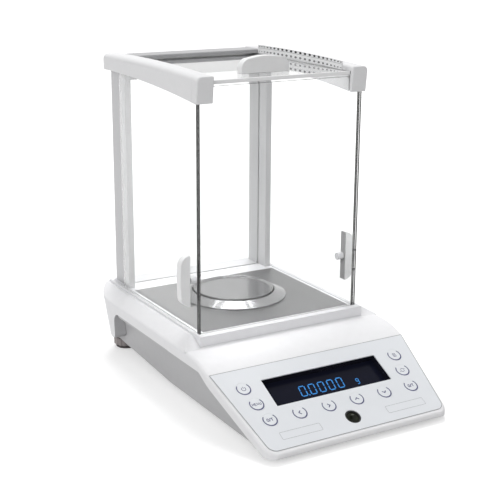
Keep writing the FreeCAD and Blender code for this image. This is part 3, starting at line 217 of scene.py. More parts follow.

# %% [markdown]
# Most of the balance is moulded plastic: white for the housing and roof, greyer for the tub below, a grey
# that is partly its own and partly painted shade. A plastic moulding is never one flat colour. It has a fine
# etched texture, small changes of gloss where it is touched, and a paler rubbed line on its edges, so one
# function gives all three. For the housing it also paints shade: the walls inside its legs get the tub's grey.

# %% Moulded plastic
def painted_leg_shade(tree, most_forward=-0.35, leg_front=0.09, leg_top=0.0495):
    """Mask of painted shade: one on the forward-facing walls low at the rear, where the leg closes on the tub,
    else nought.
    """
    coordinates = add(tree, "ShaderNodeTexCoord").outputs
    facing, spot = add(tree, "ShaderNodeSeparateXYZ"), add(tree, "ShaderNodeSeparateXYZ")
    plug(tree, facing.inputs[0], coordinates["Normal"])
    plug(tree, spot.inputs[0], coordinates["Object"])
    forward = maths(tree, "LESS_THAN", facing.outputs["Y"], most_forward)
    rear = maths(tree, "GREATER_THAN", spot.outputs["Y"], leg_front)
    low = maths(tree, "LESS_THAN", spot.outputs["Z"], leg_top)
    return maths(tree, "MULTIPLY", maths(tree, "MULTIPLY", forward, rear), low)


def moulded(name, colour, roughness=0.42, pits=1800.0, depth=0.5, bump=0.04, shade=0.94, edge=0.0005,
            leg_shade_painted=False):
    """Principled plastic: colour darkened in clouds, roughness varied, grain as bump, softened edges."""
    made, tree, shader = start_material(name, Coat_Weight=0.04, Coat_Roughness=0.3, Specular_IOR_Level=0.45)
    grain = use_group(tree, mould_grain, Pits_per_metre=pits, Depth=depth)
    touched = use_group(tree, handling, Clouds_per_metre=11.0)["Mask"]
    worn = use_group(tree, rubbed, Radius=edge)
    darker = tuple(c * shade for c in colour)
    lighter = tuple(min(1.0, c * 1.03) for c in colour)
    toned = blend_colours(tree, maths(tree, "MULTIPLY", grain["Tone"], 0.35), colour, darker)
    toned = blend_colours(tree, maths(tree, "MULTIPLY", touched, 0.25), toned, darker)
    toned = blend_colours(tree, maths(tree, "MULTIPLY", worn["Mask"], 0.4), toned, lighter)
    # painted shade: the walls inside the legs are coloured the grey of the tub
    if leg_shade_painted:
        toned = blend_colours(tree, painted_leg_shade(tree), toned, (0.50, 0.50, 0.51))
    plug(tree, shader.inputs["Base Color"], toned)
    plug(tree, shader.inputs["Roughness"], ramp(tree, touched, 0.0, 1.0, roughness, roughness + 0.12))
    relief = add(tree, "ShaderNodeBump", Strength=bump, Distance=0.0002, Height=grain["Height"],
                 Normal=worn["Normal"])
    plug(tree, shader.inputs["Normal"], relief.outputs["Normal"])
    return made


finish = {
    "housing": moulded("white moulding, painted shade inside its legs", (0.86, 0.86, 0.875), leg_shade_painted=True),
    "roof_plastic": moulded("pale grey moulding", (0.78, 0.78, 0.79), roughness=0.38),
    # the tub's grey is partly its own and partly painted shade
    "tub": moulded("tub moulding, partly painted shade", (0.55, 0.55, 0.56), roughness=0.5),
    "handle_plastic": moulded("handle moulding", (0.88, 0.88, 0.885), roughness=0.3, bump=0.02),
    "knob_plastic": moulded("knob moulding", (0.62, 0.62, 0.64), roughness=0.35, bump=0.02),
    "black_plastic": moulded("black moulding", (0.012, 0.012, 0.014), roughness=0.4, shade=0.7),
    "black_module": moulded("module black", (0.006, 0.006, 0.009), roughness=0.6, shade=0.7),
    "wheel_plastic": moulded("wheel moulding", (0.36, 0.325, 0.32), roughness=0.5, shade=0.85),
    "foot_rubber": moulded("foot rubber", (0.10, 0.09, 0.09), roughness=0.75, pits=2600.0, bump=0.15,
                           shade=0.8),
    "bumper_rubber": moulded("bumper rubber", (0.02, 0.02, 0.02), roughness=0.7, shade=0.8),
    "circuit_board": moulded("solder mask", (0.015, 0.09, 0.04), roughness=0.35, shade=0.7, bump=0.1),
}
print("moulded finishes:", len(finish))

# %% [markdown]
# The keypad is one sheet of satin film, printed from behind. It is smoother than the moulding and a
# touch blue-grey. The keys are the same film, pressed up a little, so their finish is nearly the same.

# %% Keypad film
def film(name, colour, roughness):
    """Smooth film: slow waves for the glue below it, faint smears in its gloss."""
    made, tree, shader = start_material(name, Specular_IOR_Level=0.5, Coat_Weight=0.15, Coat_Roughness=0.22)
    grain = use_group(tree, mould_grain, Pits_per_metre=700.0, Depth=0.2)
    smears = use_group(tree, handling, Clouds_per_metre=30.0)["Mask"]
    toned = blend_colours(tree, maths(tree, "MULTIPLY", grain["Tone"], 0.3), colour,
                          tuple(c * 0.96 for c in colour))
    plug(tree, shader.inputs["Base Color"], toned)
    plug(tree, shader.inputs["Roughness"], ramp(tree, smears, 0.0, 1.0, roughness, roughness + 0.14))
    relief = add(tree, "ShaderNodeBump", Strength=0.03, Distance=0.0002, Height=grain["Height"])
    plug(tree, shader.inputs["Normal"], relief.outputs["Normal"])
    return made


finish["overlay"] = film("keypad film", (0.77, 0.79, 0.82), 0.32)
finish["key_film"] = film("key film", (0.78, 0.80, 0.83), 0.30)
finish["bezel"] = film("bezel black", (0.010, 0.010, 0.018), 0.22)

# %% [markdown]
# Three kinds of metal meet in the chamber. The floor plate is brushed across the case, the pan and its
# ring are spun on a lathe and polished, and the posts are anodised extrusions with lines drawn upwards.

# %% Metals
def metal(name, colour, roughness, marks, mark_values, contrast=0.1, bump=0.1, metallic=1.0):
    """Metal whose colour and roughness follow one of the mark groups, with its edges rubbed bright."""
    made, tree, shader = start_material(name, Metallic=metallic)
    lines = use_group(tree, marks, **mark_values)
    smears = use_group(tree, handling, Clouds_per_metre=18.0)["Mask"]
    worn = use_group(tree, rubbed, Radius=0.0003)
    darker = tuple(c * (1 - contrast) for c in colour)
    toned = blend_colours(tree, lines["Tone"], darker, colour)
    toned = blend_colours(tree, maths(tree, "MULTIPLY", worn["Mask"], 0.3), toned,
                          tuple(min(1.0, c * 1.2) for c in colour))
    plug(tree, shader.inputs["Base Color"], toned)
    rough = maths(tree, "ADD", ramp(tree, lines["Tone"], 0.0, 1.0, roughness + 0.06, roughness),
                  maths(tree, "MULTIPLY", smears, 0.06))
    plug(tree, shader.inputs["Roughness"], rough)
    relief = add(tree, "ShaderNodeBump", Strength=bump, Distance=0.0001, Height=lines["Height"],
                 Normal=worn["Normal"])
    plug(tree, shader.inputs["Normal"], relief.outputs["Normal"])
    return made


pan_low, pan_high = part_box("weighing_pan")
pan_middle = (pan_low.y + pan_high.y) / 2
across = {"Along_X": 45.0, "Along_Y": 2600.0, "Along_Z": 2600.0}
upward = {"Along_X": 2200.0, "Along_Y": 2200.0, "Along_Z": 12.0}
finish["steel_plate"] = metal("brushed plate", (0.30, 0.30, 0.305), 0.34, streaks, across, 0.18, 0.25)
finish["pan_steel"] = metal("spun steel", (0.36, 0.36, 0.365), 0.12, spun, {"Axis_Y": pan_middle}, 0.08, 0.06)
finish["post_metal"] = metal("anodised post", (0.55, 0.55, 0.56), 0.42, streaks, upward, 0.05, 0.05, 0.35)
finish["machined_aluminium"] = metal("machined aluminium", (0.68, 0.69, 0.70), 0.3, streaks, across)
finish["screw_steel"] = metal("plated screws", (0.5, 0.5, 0.52), 0.32, spun, {"Axis_Y": pan_middle})
finish["magnet_steel"] = metal("blackened steel", (0.05, 0.05, 0.055), 0.45, streaks, across, metallic=0.6)
finish["plinth_metal"] = moulded("powder-coated plinth", (0.84, 0.84, 0.86), roughness=0.4, bump=0.06)
print("pan axis at y =", round(pan_middle, 4))

# %% [markdown]
# The upright strip on the right arm is a pale moulding that stands a little above the arm. A thin grey
# line marks where it leaves the arm. The strip's arched top edge is close to a parabola, so one curve
# fitted to that edge tells how far below it any spot lies.

# %% Slotted strip
strip_y, strip_z = places_of("right_vent_strip")[:, 1:].T
above = strip_z - np.polyval(np.polyfit(strip_y, strip_z, 2), strip_y)
brim = above > above.max() - 0.2 * MM
curve = np.polyfit(strip_y[brim], strip_z[brim], 2)
arm_drop = 3.1 * MM

strip, tree, shader = start_material("slotted strip", Specular_IOR_Level=0.4)
spot = add(tree, "ShaderNodeSeparateXYZ")
plug(tree, spot.inputs[0], add(tree, "ShaderNodeTexCoord").outputs["Object"])
slope = maths(tree, "ADD", maths(tree, "MULTIPLY", spot.outputs["Y"], float(curve[0])), float(curve[1]))
edge_level = maths(tree, "ADD", maths(tree, "MULTIPLY", slope, spot.outputs["Y"]), float(curve[2]))
below = maths(tree, "SUBTRACT", edge_level, spot.outputs["Z"])
line = maths(tree, "LESS_THAN", maths(tree, "ABSOLUTE", maths(tree, "SUBTRACT", below, arm_drop)), 0.2 * MM)
pits = use_group(tree, mould_grain, Pits_per_metre=2400.0, Depth=0.4)["Tone"]
plain = blend_colours(tree, pits, (0.90, 0.90, 0.905), (0.87, 0.87, 0.88))
plug(tree, shader.inputs["Base Color"], blend_colours(tree, line, plain, (0.40, 0.40, 0.41)))
plug(tree, shader.inputs["Roughness"], ramp(tree, pits, 0.0, 1.0, 0.42, 0.5))
finish["strip_plastic"] = strip
print("strip curve:", [round(float(c), 4) for c in curve])

# %% [markdown]
# The panes are clear float glass. Light passes a face almost untouched, but a cut edge looks nearly black,
# because what enters there is trapped inside the sheet; here that dark is painted shade. The way a face
# points tells the material whether it is a face or a cut edge. A cut edge carries painted shade from the
# outer face in, then is pale, and how far in the painted shade reaches differs, so each pane has a glass of
# its own. Shadow rays are let through, so that the chamber inside stays lit without waiting for light to find
# its way by refraction.

# %% Clear glass
def let_light_through(tree, shader, tint):
    """Send shadow rays through a plain tinted transparency and everything else to the glass."""
    passing = add(tree, "ShaderNodeBsdfTransparent", Color=(*tint, 1)).outputs[0]
    chosen = tree.nodes.new("ShaderNodeMixShader")
    plug(tree, chosen.inputs[0], add(tree, "ShaderNodeLightPath").outputs["Is Shadow Ray"])
    plug(tree, chosen.inputs[1], shader.outputs[0])
    plug(tree, chosen.inputs[2], passing)
    tree.links.new(chosen.outputs[0], tree.nodes["Material Output"].inputs["Surface"])


def pane(node, across_axis, outer_first, painted_shade_depth):
    """Glass of one node: clear faces; its cut edges carry painted shade from the outer face in, then are pale."""
    made, tree, shader = start_material(f"{node} clear glass", Transmission_Weight=1.0, IOR=1.46)
    coordinates = add(tree, "ShaderNodeTexCoord").outputs
    split = add(tree, "ShaderNodeSeparateXYZ")
    plug(tree, split.inputs[0], coordinates["Normal"])
    clear = ramp(tree, maths(tree, "ABSOLUTE", split.outputs[across_axis]), 0.6, 0.9)
    spot = add(tree, "ShaderNodeSeparateXYZ")
    plug(tree, spot.inputs[0], coordinates["Object"])
    low, high = (corner["XYZ".index(across_axis)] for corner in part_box(node))
    outer, inner = (low, high) if outer_first else (high, low)
    depth = ramp(tree, spot.outputs[across_axis], outer, inner)
    # painted shade: the cut edge is coloured near black from the outer face in
    painted_shade = maths(tree, "LESS_THAN", depth, painted_shade_depth)
    edge = blend_colours(tree, painted_shade, (0.78, 0.80, 0.79), (0.003, 0.004, 0.004))
    smears = use_group(tree, handling, Clouds_per_metre=9.0)["Mask"]
    plug(tree, shader.inputs["Base Color"], blend_colours(tree, clear, edge, (0.975, 0.98, 0.978)))
    plug(tree, shader.inputs["Roughness"], ramp(tree, smears, 0.0, 1.0, 0.0, 0.012))
    let_light_through(tree, shader, (0.93, 0.93, 0.93))
    return made


panes = {
    "front_glass": pane("front_glass", "Y", True, 0.58), "rear_glass": pane("rear_glass", "Y", True, 0.0),
    "left_door_glass": pane("left_door_glass", "X", True, 0.5),
    "right_door_glass": pane("right_door_glass", "X", False, 0.5),
    "top_door_glass": pane("top_door_glass", "Z", False, 0.0),
}
print("glass materials:", len(panes))

# %% [markdown]
# Two more windows need their own finish. The display sits behind a smoked lens, which is dark all through
# with a tight, faint gloss. The level's vial is coloured near black with a faint green tint, as painted shade.

# %% Smoked lens and level vial
lens, tree, shader = start_material("smoked lens", Specular_IOR_Level=0.06, Coat_Weight=0.0)
dust = use_group(tree, handling, Clouds_per_metre=40.0)["Mask"]
plug(tree, shader.inputs["Base Color"], blend_colours(tree, maths(tree, "MULTIPLY", dust, 0.3),
                                                      (0.007, 0.008, 0.018), (0.011, 0.012, 0.023)))
plug(tree, shader.inputs["Roughness"], ramp(tree, dust, 0.0, 1.0, 0.10, 0.2))
finish["display_glass"] = lens

# painted shade: the vial is coloured near black for the dark hole of the level
vial, tree, shader = start_material("level vial, painted shade", Specular_IOR_Level=0.12)
swirl = use_group(tree, handling, Clouds_per_metre=200.0)["Mask"]
plug(tree, shader.inputs["Base Color"],
     blend_colours(tree, swirl, (0.008, 0.010, 0.006), (0.014, 0.018, 0.008)))
plug(tree, shader.inputs["Roughness"], ramp(tree, swirl, 0.0, 1.0, 0.04, 0.1))
finish["vial_glass"] = vial
print("finishes ready:", len(finish))

# %% [markdown]
# Each imported node already names its finish in the record. Seven nodes go their own way: each of the five
# panes has its own glass, and two bars at the rear of the roof carry painted shade: they are coloured greyer
# than the rest of it.

# %% Give every node its finish
own_finish = {
    # painted shade: the two rear bars are coloured greyer for the shade they stand in
    "rear_crossbar": moulded("rear bar, painted shade", (0.46, 0.46, 0.47), roughness=0.4),
    "rear_roof_cover": moulded("rear cover, painted shade", (0.40, 0.40, 0.41), roughness=0.4),
}
for entry in frame["record"]["subparts"]:
    node, slot = entry["node"], entry["material_slot"]
    chosen = panes.get(node) or own_finish.get(node) or finish[slot]
    for holder in nodes[node].material_slots:
        holder.material = chosen

# %% [markdown]
# The keys, display and labels lie on a panel that slopes down to the front. Their artwork is easiest to
# lay out flat, in two directions of that panel: across it, and down its slope. The direction in which a
# key is pressed is square to the panel, which gives the third.

# %% Directions of the sloping panel
press = next(joint for joint in frame["joints"] if joint["name"] == "left_upper_press")
outward = -np.array(press["axis"], float)
outward /= np.linalg.norm(outward)
sideways = np.array([1.0, 0.0, 0.0])
down_slope = np.cross(sideways, outward)


def top_of(node):
    """Of a node's outermost face: its centre and its least corner, flat on the panel, and its level."""
    places = places_of(node)
    level = places @ outward
    face = places[level > level.max() - 0.1 * MM]
    flat = np.stack([face @ sideways, face @ down_slope], 1)
    return (flat.min(0) + flat.max(0)) / 2, flat.min(0), level.max()


def on_panel(flat, level):
    """Places in space of flat panel points: across, down the slope, and out to a level."""
    flat = np.asarray(flat, float)
    return flat[:, :1] * sideways + flat[:, 1:2] * down_slope + level * outward


_, overlay_corner, overlay_level = top_of("panel_overlay")
panel_top = overlay_corner[1]
print_gap = 0.01 * MM
print("panel slopes", round(math.degrees(math.acos(outward[2])), 1), "degrees")

# %% [markdown]
# Every printed mark is a stroke of ink: a very flat rectangle carried along a path in the panel. Where
# the path bends, the stroke is widened by one over the cosine of half the turn, so its edges stay parallel.

# %% Make a piece from arrays
def make_piece(name, places, faces, material, body):
    """A mesh object from arrays, its doubles merged and its faces turned outwards, riding on a body."""
    mesh = bpy.data.meshes.new(name)
    mesh.from_pydata(places.tolist(), [], faces)
    tidy = bmesh.new()
    tidy.from_mesh(mesh)
    bmesh.ops.remove_doubles(tidy, verts=tidy.verts, dist=0.000001)
    bmesh.ops.recalc_face_normals(tidy, faces=tidy.faces)
    tidy.to_mesh(mesh)
    tidy.free()
    mesh.materials.append(material)
    piece = bpy.data.objects.new(name, mesh)
    bpy.context.scene.collection.objects.link(piece)
    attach(piece, body)
    return piece


def lofted(rings):
    """Points and faces of stacks of rings, each ring joined to the next; the axes are stack, ring, point."""
    index = np.arange(rings[..., 0].size).reshape(rings.shape[:3])
    beside = np.roll(index, -1, 2)
    quads = np.stack([index[:, :-1], beside[:, :-1], beside[:, 1:], index[:, 1:]], -1).reshape(-1, 4)
    return rings.reshape(-1, 3), quads


# %% Printed strokes
def stroke(path, width, level, thickness):
    """Corners and faces of one stroke: path plus and minus half the width times the sideways normal."""
    path = np.asarray(path, float)
    closed = np.allclose(path[0], path[-1])
    along = np.diff(path, axis=0)
    along /= np.linalg.norm(along, axis=1)[:, None]
    normal = np.stack([along[:, 1], -along[:, 0]], 1)
    before = np.vstack([normal[-1:] if closed else normal[:1], normal])
    after = np.vstack([normal, normal[:1] if closed else normal[-1:]])
    bend = before + after
    bend /= np.linalg.norm(bend, axis=1)[:, None]
    bend /= np.clip((bend * after).sum(1), 0.5, 1.0)[:, None]
    half = bend * np.broadcast_to(width, len(path))[:, None] / 2
    corners = np.stack([on_panel(path + half, level), on_panel(path + half, level + thickness),
                        on_panel(path - half, level + thickness), on_panel(path - half, level)], 1)
    ring = np.arange(len(path))[:, None] * 4 + np.arange(4)
    turned = np.roll(ring, -1, 1)
    sides = np.stack([ring[:-1], turned[:-1], turned[1:], ring[1:]], -1).reshape(-1, 4)
    ends = np.zeros((0, 4), int) if closed else np.stack([ring[0], ring[-1]])
    return corners.reshape(-1, 3), np.vstack([sides, ends])


def printed(name, strokes, level, material, body, thickness=0.04 * MM):
    """One mesh from several strokes, each a path and a width in metres."""
    places, faces, count = [], [], 0
    for path, width in strokes:
        corners, sides = stroke(path, width, level, thickness)
        places.append(corners)
        faces.extend((sides + count).tolist())
        count += len(corners)
    return make_piece(name, np.vstack(places), faces, material, body)


def arc(radius, start, end, middle=(0.0, 0.0), steps=48, squeeze=1.0):
    """Points of an arc: middle plus radius times cosine and sine; 90 degrees points down the slope."""
    angle = np.radians(np.linspace(start, end, steps))
    return np.stack([middle[0] + squeeze * radius * np.cos(angle), middle[1] + radius * np.sin(angle)], 1)


def ink(name, colour, **sockets):
    """Screen-printed ink: one colour thinned in tiny patches, and a little more matt there."""
    made, tree, shader = start_material(name, **sockets)
    thin = use_group(tree, mould_grain, Pits_per_metre=5000.0, Depth=0.5)
    pale = tuple(c + (1 - c) * 0.06 for c in colour)
    plug(tree, shader.inputs["Base Color"], blend_colours(tree, thin["Tone"], colour, pale))
    plug(tree, shader.inputs["Roughness"], ramp(tree, thin["Tone"], 0.0, 1.0, 0.4, 0.55))
    return made


key_ink = ink("violet ink", (0.050, 0.052, 0.155), Specular_IOR_Level=0.35)
label_ink = ink("grey ink", (0.36, 0.38, 0.39), Specular_IOR_Level=0.35)
print("inks ready")

# %% [markdown]
# Every key carries a ring that is open at the top, a little heavier at its foot, with a small sign in it.
# The signs are only what such keys commonly show: power, menu, zero and tare, four arrows, a sheet for
# printing, and two arrows chasing each other. Each is a handful of paths in millimetres about the middle.

# %% Signs on the keys
def zero_and_tare():
    """A nought, a slash and a T."""
    return [arc(1.25, 0, 360, (-1.9, 0), squeeze=0.62), [(-0.75, 1.4), (0.45, -1.4)],
            [(0.75, -1.2), (2.65, -1.2)], [(1.7, -1.2), (1.7, 1.3)]]


def menu_word():
    """The word menu in plain capitals."""
    return [[(-3.9, 1.0), (-3.9, -1.0), (-3.2, 0.3), (-2.5, -1.0), (-2.5, 1.0)],
            [(-0.5, -1.0), (-1.7, -1.0), (-1.7, 1.0), (-0.5, 1.0)], [(-1.7, 0.0), (-0.7, 0.0)],
            [(0.3, 1.0), (0.3, -1.0), (1.5, 1.0), (1.5, -1.0)],
            np.vstack([[(2.4, -1.0)], arc(0.7, 180, 0, (3.1, 0.4), 9), [(3.8, -1.0)]])]


def chevron(turn):
    """An open arrow that points left, turned by a number of quarter turns."""
    shape = np.array([(0.95, -1.7), (-0.85, 0.0), (0.95, 1.7)])
    quarter = np.array([[0.0, 1.0], [-1.0, 0.0]])
    return [shape @ np.linalg.matrix_power(quarter, turn)]


def power_sign():
    """A circle open at the top with a bar through the opening."""
    return [arc(1.75, -55, 235), [(0.0, -2.2), (0.0, -0.3)]]


def sheet_sign():
    """A small sheet with two lines on it, for printing."""
    return [[(-1.1, -1.6), (1.1, -1.6), (1.1, 1.6), (-1.1, 1.6), (-1.1, -1.6)], [(-0.5, -0.5), (0.5, -0.5)],
            [(-0.5, 0.5), (0.5, 0.5)]]


def chasing_arrows():
    """Two arcs that follow each other, each ending in a barb."""
    return [arc(1.6, -150, -15, steps=16), arc(1.6, 30, 165, steps=16),
            [(1.0, -1.5), (1.65, -0.35), (2.6, -1.2)], [(-1.0, 1.5), (-1.65, 0.35), (-2.6, 1.2)]]


signs = {
    "left_upper_key": (power_sign(), 0.46), "left_middle_key": (menu_word(), 0.48),
    "left_lower_key": (zero_and_tare(), 0.62), "back_key": (chevron(0), 0.9),
    "forward_key": (chevron(2), 0.9), "up_key": (chevron(1), 0.9), "down_key": (chevron(3), 0.9),
    "right_upper_key": (sheet_sign(), 0.46), "right_middle_key": (chasing_arrows(), 0.48),
    "right_lower_key": (zero_and_tare(), 0.62),
}
ring_path = arc(6.2, -42, 222)
ring_width = 0.92 + 0.26 * np.clip(np.sin(np.radians(np.linspace(-42, 222, 48))), 0, 1)
for key, (paths, width) in signs.items():
    middle, _, level = top_of(key)
    strokes = [(middle + ring_path * MM, ring_width * MM)]
    strokes += [(middle + np.asarray(path) * 1.12 * MM, width * MM) for path in paths]
    printed(f"{key}_print", strokes, level + print_gap, key_ink, key.replace("_key", "_button"))
print("keys printed:", len(signs))

# %% [markdown]
# The reading stands in slim leaning seven-segment digits that glow blue behind the lens. Each segment is
# a short stroke; a nought lights six of the seven. A small point follows the first digit, and the sign for
# grams stands lower and smaller to the right.

# %% The glowing reading
segment_ends = {
    "top": ((0, 0), (1, 0)), "upper right": ((1, 0), (1, 0.5)), "lower right": ((1, 0.5), (1, 1)),
    "foot": ((0, 1), (1, 1)), "lower left": ((0, 0.5), (0, 1)), "upper left": ((0, 0), (0, 0.5)),
    "bar": ((0, 0.5), (1, 0.5)),
}
nought = ("top", "upper right", "lower right", "foot", "lower left", "upper left")
gram = ("top", "upper right", "bar", "upper left", "lower right", "foot")


def digit(lit, left, top, wide, high, lean=0.12, gap=0.09):
    """Segments of one digit in millimetres, pulled in at both ends, leaning right as they rise."""
    paths = []
    for name in lit:
        ends = np.array(segment_ends[name], float) * (wide, high)
        way = (ends[1] - ends[0]) / np.linalg.norm(ends[1] - ends[0])
        ends += np.stack([way, -way]) * gap * wide
        ends[:, 0] += left + lean * (high - ends[:, 1])
        ends[:, 1] += top
        paths.append(ends)
    return paths


window_level = top_of("display_window")[2]
digits, first_left, digit_step, digit_top, digit_wide, digit_high = 5, -27.6, 9.8, 27.6, 5.7, 11.0
reading = []
for place in range(digits):
    nought_left = first_left + digit_step * place
    reading += [(path, 1.08) for path in digit(nought, nought_left, digit_top, digit_wide, digit_high)]
point = [(-20.7, 38.6), (-19.6, 38.6)]
reading.append((point, 1.15))
reading += [(path, 0.75) for path in digit(gram, 31.0, 33.0, 2.6, 6.0)]
glow, tree, shader = start_material("blue glow", Emission_Strength=1.0, Specular_IOR_Level=0.1)
shade = use_group(tree, mould_grain, Pits_per_metre=2500.0, Depth=0.6)["Tone"]
plug(tree, shader.inputs["Base Color"], blend_colours(tree, shade, (0.006, 0.02, 0.05), (0.008, 0.03, 0.07)))
plug(tree, shader.inputs["Roughness"], ramp(tree, shade, 0.0, 1.0, 0.3, 0.4))
plug(tree, shader.inputs["Emission Color"],
     blend_colours(tree, shade, (0.040, 0.225, 0.58), (0.050, 0.275, 0.70)))
shift = np.array([0.0, panel_top])
printed("display_reading", [(np.asarray(path) * MM + shift, width * MM) for path, width in reading],
        window_level + print_gap, glow, "base")
print("reading strokes:", len(reading))

# %% [markdown]
# Two long fields are marked out on the film for labels, low on the left and on the right. They are left
# empty here: a thin grey outline with rounded corners, printed on the film.

# %% Blank label fields
def rounded_outline(left, right, top, bottom, radius):
    """Four quarter arcs joined by straight sides, and closed."""
    corners = [arc(radius, 180, 270, (left + radius, top + radius), 8),
               arc(radius, 270, 360, (right - radius, top + radius), 8),
               arc(radius, 0, 90, (right - radius, bottom - radius), 8),
               arc(radius, 90, 180, (left + radius, bottom - radius), 8)]
    path = np.vstack(corners)
    return np.vstack([path, path[:1]])


for side, left, right, top in (("left", -73.7, -34.0, 74.2), ("right", 35.0, 75.6, 74.6)):
    outline = rounded_outline(left, right, top, top + 7.6, 0.9) * MM + shift
    printed(f"{side}_label_field", [(outline, 0.3 * MM)], overlay_level + print_gap, label_ink,
            "base")
print("label fields: 2")

# %% [markdown]
# A fine dark seam runs round the keypad where the film meets the housing. The film's outline is convex, so
# the seam's path is the convex hull of its face.

# %% Seam round the keypad
film_places = places_of("panel_overlay")
film_places = film_places[film_places @ outward > overlay_level - 0.05 * MM]
film_flat = np.stack([film_places @ sideways, film_places @ down_slope], 1)
hull = film_flat[convex_hull_2d([tuple(spot) for spot in film_flat])]
steps = np.linalg.norm(np.roll(hull, -1, 0) - hull, axis=1)
hull = hull[steps > 0.05 * MM]
seam_ink = ink("seam grey", (0.24, 0.25, 0.26), Specular_IOR_Level=0.2)
printed("panel_seam", [(np.vstack([hull, hull[:1]]), 0.42 * MM)], overlay_level + print_gap, seam_ink,
        "base")
print("seam points:", len(hull))

# %% [markdown]
# Pads of painted shade sit in the slots of the strip on the right arm: dark in the upper row, mid grey in the
# lower. Each pad is a low dome with an oval rim. The slots crowd a little and shrink towards both ends, by a sine.

# %% Painted shade in the slots
def pads(centres, half_long, half_high, start, rise, rings=4, around=20):
    """Domes facing left: x is start less rise times cosine, y and z are sine times the half sizes."""
    lift = np.linspace(0, math.pi / 2, rings)[None, :, None]
    turn = np.linspace(0, 2 * math.pi, around, endpoint=False)[None, None]
    spread = np.stack([-rise * np.cos(lift) * np.ones_like(turn), np.sin(lift) * np.cos(turn),
                       np.sin(lift) * np.sin(turn)], -1)
    scale = np.stack([np.ones(len(centres)), half_long, half_high], 1)[:, None, None]
    domes = spread * scale
    flat = np.zeros_like(domes[:, :1])
    middle = np.stack([np.full(len(centres), start), centres[:, 0], centres[:, 1]], 1)[:, None, None]
    return lofted(np.concatenate([domes, flat], 1) + middle)


strip_low, strip_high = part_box("right_vent_strip")
slots_in_row = 22
share = (np.arange(slots_in_row) + 0.5) / slots_in_row
swell = 0.4 + 0.6 * np.sin(math.pi * share)
place = 0.4 * (0.5 - 0.5 * np.cos(math.pi * share)) + 0.6 * share
slot_y = strip_low.y + (strip_high.y - strip_low.y) * place
arm_level = np.polyval(curve, slot_y) - arm_drop
for row, rise, colour in (("upper", 1.5, (0.030, 0.030, 0.031)), ("lower", -3.5, (0.20, 0.20, 0.205))):
    # painted shade: the pads are coloured dark in the upper row and mid grey in the lower, for the shade in the
    # slots
    slot_shade, tree, shader = start_material(f"{row} foam", Specular_IOR_Level=0.1)
    speckle = use_group(tree, mould_grain, Pits_per_metre=3000.0, Depth=0.6)["Tone"]
    plug(tree, shader.inputs["Base Color"],
         blend_colours(tree, speckle, colour, tuple(c * 1.4 for c in colour)))
    plug(tree, shader.inputs["Roughness"], ramp(tree, speckle, 0.0, 1.0, 0.8, 0.95))
    centres = np.stack([slot_y, arm_level + rise * MM], 1)
    places, quads = pads(centres, 2.1 * MM * swell, 1.05 * MM * swell, strip_low.x + 0.49 * MM, 0.4 * MM)
    make_piece(f"{row}_slot_shade_pads", places, quads.tolist(), slot_shade, "base")
print("foam pads:", 2 * slots_in_row)

# %% [markdown]
# At the back, the data port needs its nine pins. A pin is a thin rod with a round tip, which is a profile
# turned about an axis; all nine are the same surface moved to nine places, in two rows.

# %% Pins of the data port
def pins(places, radius, length, start):
    """Rods along Y: one profile turned about its axis, the tip a quarter circle, both ends closed."""
    tip = np.linspace(0, math.pi / 2, 5)
    run = np.concatenate([[0, 0, length - radius], length - radius + radius * np.sin(tip[1:])])
    reach = np.concatenate([[0, radius, radius], radius * np.cos(tip[1:])])
    angle = np.linspace(0, 2 * math.pi, 12, endpoint=False)
    one = np.stack([reach[:, None] * np.cos(angle), np.repeat(run[:, None], 12, 1) + start,
                    reach[:, None] * np.sin(angle)], -1)
    moves = np.stack([places[:, 0], np.zeros(len(places)), places[:, 1]], 1)
    return lofted(one + moves[:, None, None])


port_low, port_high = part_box("serial_port")
port_x, port_z = (port_low.x + port_high.x) / 2, (port_low.z + port_high.z) / 2
pin_step, row_height = 2.77, 1.42 * MM
upper_row = np.stack([port_x + np.arange(-2, 3) * pin_step * MM, np.full(5, port_z + row_height)], 1)
lower_row = np.stack([port_x + np.arange(-1.5, 2) * pin_step * MM, np.full(4, port_z - row_height)], 1)
places, quads = pins(np.vstack([upper_row, lower_row]), 0.5 * MM, 4.6 * MM, port_high.y - 6.0 * MM)
make_piece("port_pins", places, quads.tolist(), finish["screw_steel"], "base")
print("port pins: 9")

# %% [markdown]
# The round level shows a bubble. It is the top of a flattened ball that stands a little above the vial. Like
# the vial it is coloured near black, as painted shade.

# %% Bubble of the level
vial_low, vial_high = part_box("level_vial")
vial_middle = (vial_low + vial_high) / 2


def dome(middle, radius, rise, rings=8, around=24):
    """Points at radius times sine and rise times cosine of an angle from the pole to the rim."""
    lift = np.linspace(0, math.pi / 2, rings)[:, None]
    turn = np.linspace(0, 2 * math.pi, around, endpoint=False)[None]
    shape = np.stack([radius * np.sin(lift) * np.cos(turn), radius * np.sin(lift) * np.sin(turn),
                      rise * np.cos(lift) * np.ones_like(turn)], -1)
    base = np.zeros((1, around, 3))
    return lofted((np.concatenate([shape, base]) + np.array(middle))[None])


bubble, tree, shader = start_material("bubble", Specular_IOR_Level=0.4)
mottle = use_group(tree, handling, Clouds_per_metre=300.0)["Mask"]
# painted shade: the bubble is coloured near black, like the vial
plug(tree, shader.inputs["Base Color"],
     blend_colours(tree, mottle, (0.020, 0.026, 0.014), (0.035, 0.045, 0.024)))
plug(tree, shader.inputs["Roughness"], ramp(tree, mottle, 0.0, 1.0, 0.08, 0.14))
places, quads = dome((vial_middle.x, vial_middle.y, vial_high.z - 0.2 * MM), 1.6 * MM, 0.5 * MM)
make_piece("level_bubble", places, quads.tolist(), bubble, "base")
print("level bubble at", [round(c, 4) for c in (vial_middle.x, vial_middle.y, vial_high.z)])

# %% [markdown]
# The balance stands on a plain white floor under a white sky. What the camera sees of both is white, and
# so is what shows in metal and through glass. The floor also keeps part of its own shading, most of it near
# the balance, so that the base still throws a soft shadow on it.

